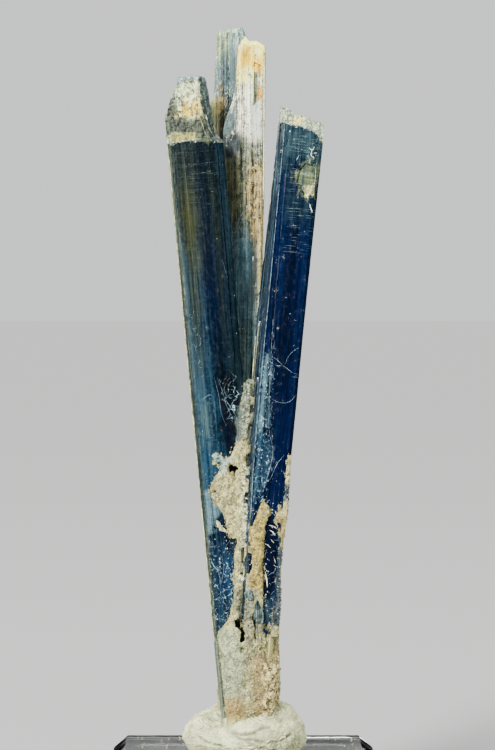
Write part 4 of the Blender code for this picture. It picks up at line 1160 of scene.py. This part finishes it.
def grain_shape(draw, size):
    """One small quartz grain: a stubby six-sided prism with a pointed end, knocked askew."""
    length = draw.uniform(0.7, 1.3)
    points = [(0, 0, -0.5 * length)]
    for level in (-0.3, 0.45):
        for i in range(6):
            angle = math.pi * i / 3
            points.append((0.5 * math.cos(angle) * draw.uniform(0.8, 1.15),
                           0.5 * math.sin(angle) * draw.uniform(0.8, 1.15), level * length))
    points.append((draw.uniform(-0.15, 0.15), draw.uniform(-0.15, 0.15), 0.85 * length))
    faces = []
    for i in range(6):
        j = (i + 1) % 6
        faces += [(0, 1 + j, 1 + i), (1 + i, 1 + j, 7 + j, 7 + i), (7 + i, 7 + j, 13)]
    turn = Euler([draw.uniform(0, 2 * math.pi) for _ in range(3)]).to_matrix() * size
    return [tuple(turn @ Vector(point)) for point in points], faces


GRAIN_TRIES = 2600
GRAIN_LIFT = 0.04
COARSE_GRAINS = (0.2, 0.26, 0.34, 0.48)
FINE_GRAINS = (0.18, 0.24, 0.3)
ON_COARSE = 0.95  # the share of the tries that leave a grain, on each kind of crust
ON_SMOOTH = 0.08
ELSEWHERE = 0.4


def crust_grains(points, normals, held, material):
    """Loose-looking quartz grains over the crust, most of them low on its right."""
    draw = random.Random(17)
    free = np.flatnonzero(~held)
    parts = []
    for _ in range(GRAIN_TRIES):
        i = free[draw.randrange(len(free))]
        x, _, z = points[i]
        coarse = x > 1.5 and z < 40
        smooth = x < 0.5 and z < FOOT_TOP
        if draw.random() > (ON_COARSE if coarse else ON_SMOOTH if smooth else ELSEWHERE):
            continue
        shape, faces = grain_shape(draw, draw.choice(COARSE_GRAINS if coarse else FINE_GRAINS))
        parts.append((np.array(shape) + points[i] + normals[i] * GRAIN_LIFT, faces))
    found, faces = joined(parts)
    piece("quartz_grains", found * MM, faces, material, values=crust_values(found),
          flat=True)


# ------------------------------------------------------------------------------------- putty
PUTTY_VOXEL = 0.18
# Lobes on its top: place in x and y, reach and rise.
LOBES = [((-9.2, -5.0), 2.6, 2.3), ((8.6, -3.0), 3.4, 1.7), ((-1.2, -10.3), 4.0, 1.4),
         ((5.0, -9.6), 3.6, 2.5), ((-3.5, 10.0), 4.0, 0.7)]
LOBES_ABOVE = 16.5
LOBES_EASE = 4  # they reach their full rise over this height
FOLD_WIDTH = 0.55
FOLD_STEP = 0.12
FOLD_WANDER = 0.25
FOLD_DEPTH = 0.5
CREASE_DEPTH = 0.30
CREASE_WIDTH = 0.05  # in the noise whose zeros place the creases
CREASES_BEHIND = -2  # they are behind this place in y
FOOT_EASE = 0.6  # the relief fades out over this height above the flat underside
SWELL = 0.45  # how high its broad swells, its dimples and its pores are
DIMPLE = 0.17
PORE = 0.15
PRINT_PERIOD = 0.62
PRINT_DEPTH = 0.18
PRINT_SHAPE = (1.0, 1.0, 1.4)  # the arcs are flatter in z by this
PRINT_WANDER = 0.9
# Finger marks: the centre of their arcs, how far from it they are clearest, and how far they fade.
PRINTS = [((9.5, -9.0, 13.5), 5.0, 2.4), ((-10.5, -9.0, 21.5), 5.2, 2.6), ((1.5, -12.0, 12.0), 4.4, 1.6),
          ((11.0, 2.0, 14.0), 4.6, 2.2), ((-11.0, 3.0, 20.0), 4.0, 2.2), ((2.0, 11.0, 13.0), 4.8, 2.4),
          ((5.0, -9.0, 25.0), 5.0, 2.2), ((-6.0, -12.0, 10.0), 4.6, 2.2)]
# Folds in its front, as paths in x and z.
FOLDS = [
    [(-8.9, 22.2), (-7.2, 21.9), (-5.6, 21.6), (-4.2, 20.4)],
    [(-2, 18.8), (-0.4, 18.5), (1.8, 18.7), (4, 19.7), (5.6, 19.9)],
    [(-1.6, 18.2), (0.6, 17.1), (2.4, 16.1), (4.6, 15.4), (6.8, 14.7)],
    [(0.4, 17.4), (2.6, 17.2), (4.8, 16.6), (8.2, 16.9), (10, 17.8)],
    [(-9.4, 17.4), (-7, 16.2), (-4.4, 15.7)],
]


def putty_material():
    look = Look("mineral_putty", IOR=1.45)
    mottle = look.grain((2.6, 2.6, 1.8), 4.0)
    fine = look.grain(0.35, 3.0)
    speck = look.cells(0.9)
    rare = look.grain(2.0, 1.0)
    colour = look.mix(look.step(mottle, 0.35, 0.65), (168, 170, 130), (210, 213, 162))
    look.feed("Base Color", look.layers(
        colour,
        (look.step(fine, 0.56, 0.72), (104, 104, 74)),
        (look.times(look.step(speck, 0.16, 0.10), look.step(rare, 0.52, 0.6)), (40, 38, 30)),
        # Painted shade in the creases and folds.
        (look.times(look.attribute("shaded_crease"), 0.75), (60, 60, 45)),
        # Painted shade in the valleys of the finger marks.
        (look.step(look.attribute("print_shade"), 0.1, -0.7, 0.0, 0.65), (112, 110, 80))))
    look.feed("Roughness", look.step(mottle, 0.2, 0.8, 0.5, 0.75))
    look.bump(look.total((fine, 1.0), (mottle, 0.5)), 0.2)
    return look.material


def prints(points):
    """Ridges of finger marks: arcs round a few centres, faded in and out."""
    height = np.zeros(len(points))
    bend = field(points, 2.4, 9)
    for centre, clearest, reach in PRINTS:
        away = np.linalg.norm((points - centre) * PRINT_SHAPE, axis=1) + PRINT_WANDER * bend
        fade = np.exp(-((away - clearest) / reach) ** 2)
        height += fade * np.sin(2 * math.pi * away / PRINT_PERIOD)
    return height


def folds_in_front(points):
    """1 at the bottom of each fold in the putty's front, falling to 0 beside it."""
    places = [(x, 0.0, z) for path in FOLDS for x, z in smooth_path(path, FOLD_STEP)]
    away = nearest_gaps(points * (1, 0, 1), places) + FOLD_WANDER * field(points, 1.2, 14)
    return np.clip(1 - away / FOLD_WIDTH, 0, 1) ** 1.5 * (points[:, 1] < 0)


def putty_ball(material):
    shape = cad_copy("putty")
    found = bmesh.ops.convex_hull(shape, input=shape.verts)
    inner = [item for item in found["geom_interior"] if isinstance(item, bmesh.types.BMVert)]
    holes = [item for item in found["geom_holes"] if isinstance(item, bmesh.types.BMFace)]
    bmesh.ops.delete(shape, geom=holes, context="FACES_ONLY")
    bmesh.ops.delete(shape, geom=inner, context="VERTS")
    points, normals, faces = arrays(remeshed(shape, PUTTY_VOXEL))
    floor = points[:, 2].min()
    upper = np.clip((points[:, 2] - LOBES_ABOVE) / LOBES_EASE, 0, 1)
    for (x, y), reach, rise in LOBES:
        away = np.hypot(points[:, 0] - x, points[:, 1] - y)
        points[:, 2] += upper * rise * np.exp(-(away / reach) ** 2)
    folds = field(points, (5.0, 5.0, 2.4), 12, 2)
    shaded_crease = np.clip(1 - np.abs(folds) / CREASE_WIDTH, 0, 1) * (points[:, 1] > CREASES_BEHIND)
    fold = folds_in_front(points)
    free = np.clip((points[:, 2] - floor) / FOOT_EASE, 0, 1)
    marks = prints(points)
    lift = (SWELL * field(points, (5.0, 5.0, 3.4), 11) + PRINT_DEPTH * marks - FOLD_DEPTH * fold
            - CREASE_DEPTH * shaded_crease + DIMPLE * field(points, (2.2, 2.2, 1.3), 13, 3)
            + PORE * field(points, (0.7, 0.7, 0.4), 15, 2))
    points = points + normals * (lift * free)[:, None]
    points[:, 2] = np.maximum(points[:, 2], floor)
    piece("putty_ball", points * MM, faces, material, ("putty",),
          {"local": points, "shaded_crease": np.maximum(shaded_crease, fold), "print_shade": marks})


# -------------------------------------------------------------------------------------- block
def acrylic_material():
    look = Look("clear_acrylic", IOR=1.49, Transmission_Weight=1.0, Base_Color=(0.985, 0.995, 0.99, 1.0))
    look.feed("Roughness", look.step(look.grain(9.0, 4.0), 0.5, 0.75, 0.015, 0.07))
    look.bump(look.grain(6.0, 1.0), 0.01)
    return look.material


def acrylic_block(material):
    shape = cad_copy("acrylic_block", flat=math.radians(1))
    bmesh.ops.bevel(shape, geom=list(shape.edges), offset=0.22, segments=3, profile=0.5,
                    affect="EDGES")
    points, _, faces = arrays(shape)
    piece("acrylic_slab", points * MM, faces, material, ("acrylic_block",),
          {"local": points}, sharp=40)


SPECKS = 150
SPECK_SIZES = (0.1, 0.14, 0.2, 0.3)
SPECK_LIFT = 0.01
BLOCK_HALF = 24.5  # the part of the block's top that specks lie on
PUTTY_REACH = 13.4


def dust(material):
    """Specks lying on the block's top."""
    _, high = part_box("acrylic_block")
    draw = random.Random(23)
    parts = []
    while len(parts) < SPECKS:
        x, y = draw.uniform(-BLOCK_HALF, BLOCK_HALF), draw.uniform(-BLOCK_HALF, BLOCK_HALF)
        if math.hypot(x, y) < PUTTY_REACH:
            continue
        shape, faces = grain_shape(draw, draw.choice(SPECK_SIZES))
        flattened = np.array(shape) * (1.0, 1.0, 0.5)
        flattened[:, 2] -= flattened[:, 2].min() - SPECK_LIFT
        parts.append((flattened + (x, y, high.z / MM), faces))
    points, faces = joined(parts)
    piece("dust", points * MM, faces, material, values={"local": points}, flat=True)


# ---------------------------------------------------------------------------- stage and light
FLOOR = (157, 158, 156)
FLOOR_REACH = 6.0
FLOOR_SIDES = 64
FLOOR_TOP = -0.00003  # just under the block
SUN_SPREAD = math.radians(16)
ROOM = (0.98, 0.99, 1.0, 1.0)
ROOM_LIGHT = 0.98
MIDDLE = (0.0, 0.0, 0.09)  # of the crystals


def area_light(name, place, size, watts):
    """A rectangular lamp aimed at the middle of the crystals."""
    light = bpy.data.lights.new(name, "AREA")
    light.shape = "RECTANGLE"
    light.size, light.size_y = size
    light.energy = watts
    made = placed(name, light)
    made.location = place
    made.rotation_euler = (Vector(MIDDLE) - Vector(place)).to_track_quat("-Z", "Y").to_euler()


def soft_sun(name, towards, strength, mirrored=True):
    """Even light from far away, with the soft shadows of a large lamp.

    It is mirrored if polished faces reflect it.
    """
    light = bpy.data.lights.new(name, "SUN")
    light.energy = strength
    light.angle = SUN_SPREAD
    made = placed(name, light)
    made.rotation_euler = Vector(towards).to_track_quat("Z", "Y").to_euler()
    made.visible_glossy = mirrored


def stage():
    """A pale floor and room. Both are kept out of the crystals' reflections, as with flags in a
    studio, so that the polished faces stay as deep in colour as the real ones."""
    mesh = bpy.data.meshes.new("floor")
    angles = [2 * math.pi * i / FLOOR_SIDES for i in range(FLOOR_SIDES)]
    ring = [(FLOOR_REACH * math.cos(angle), FLOOR_REACH * math.sin(angle), FLOOR_TOP) for angle in angles]
    mesh.from_pydata(ring, [], [tuple(range(FLOOR_SIDES))])
    floor = placed("floor", mesh)
    look = Look("pale_floor", Roughness=1.0, Specular_IOR_Level=0.0, Base_Color=tone(FLOOR))
    mesh.materials.append(look.material)
    floor.visible_glossy = False

    world = bpy.data.worlds.new("studio")
    world.use_nodes = True
    background = world.node_tree.nodes["Background"]
    background.inputs["Color"].default_value = ROOM
    background.inputs["Strength"].default_value = ROOM_LIGHT
    bpy.context.scene.world = world
    world.cycles_visibility.glossy = False
    soft_sun("key", (-0.50, -0.85, 0.55), 9.4)
    soft_sun("fill", (0.90, -0.40, 0.35), 1.8, mirrored=False)
    area_light("left_box", (-0.60, -0.10, 0.25), (0.25, 0.6), 2.4)
    area_light("top_box", (0.0, 0.10, 0.80), (0.5, 0.5), 3.0)


# The camera sees the show side from a little above level. What it aims at and its distance are in
# millimetres.
AIM = (0.945, -3.0, 92.967)
CAMERA_DISTANCE = 650.0
CAMERA_RISE = math.radians(2.0)
FOCAL_LENGTH = 148.57


def camera():
    lens = bpy.data.cameras.new("camera")
    lens.lens = FOCAL_LENGTH
    lens.sensor_fit = "VERTICAL"
    lens.sensor_height = 36.0
    lens.clip_start, lens.clip_end = 0.05, 30.0
    made = placed("camera", lens)
    back = Vector((0.0, -math.cos(CAMERA_RISE), math.sin(CAMERA_RISE)))
    made.location = Vector(AIM) * MM + back * (CAMERA_DISTANCE * MM)
    made.rotation_euler = (-back).to_track_quat("-Z", "Y").to_euler()
    bpy.context.scene.camera = made


# -------------------------------------------------------------------------------------- build
noise.seed_set(NOISE_SEED)
stage()
camera()
crust = node_tree("quartz_crust")
looks = line_looks()
for node in BLADES:
    kyanite_look = dressed_blade(node, crust, looks)
splinter(kyanite_look)
shards(crust)
quartz = quartz_material()
crust_grains(*quartz_crust(quartz), quartz)
putty = putty_material()
putty_ball(putty)
acrylic_block(acrylic_material())
dust(putty)
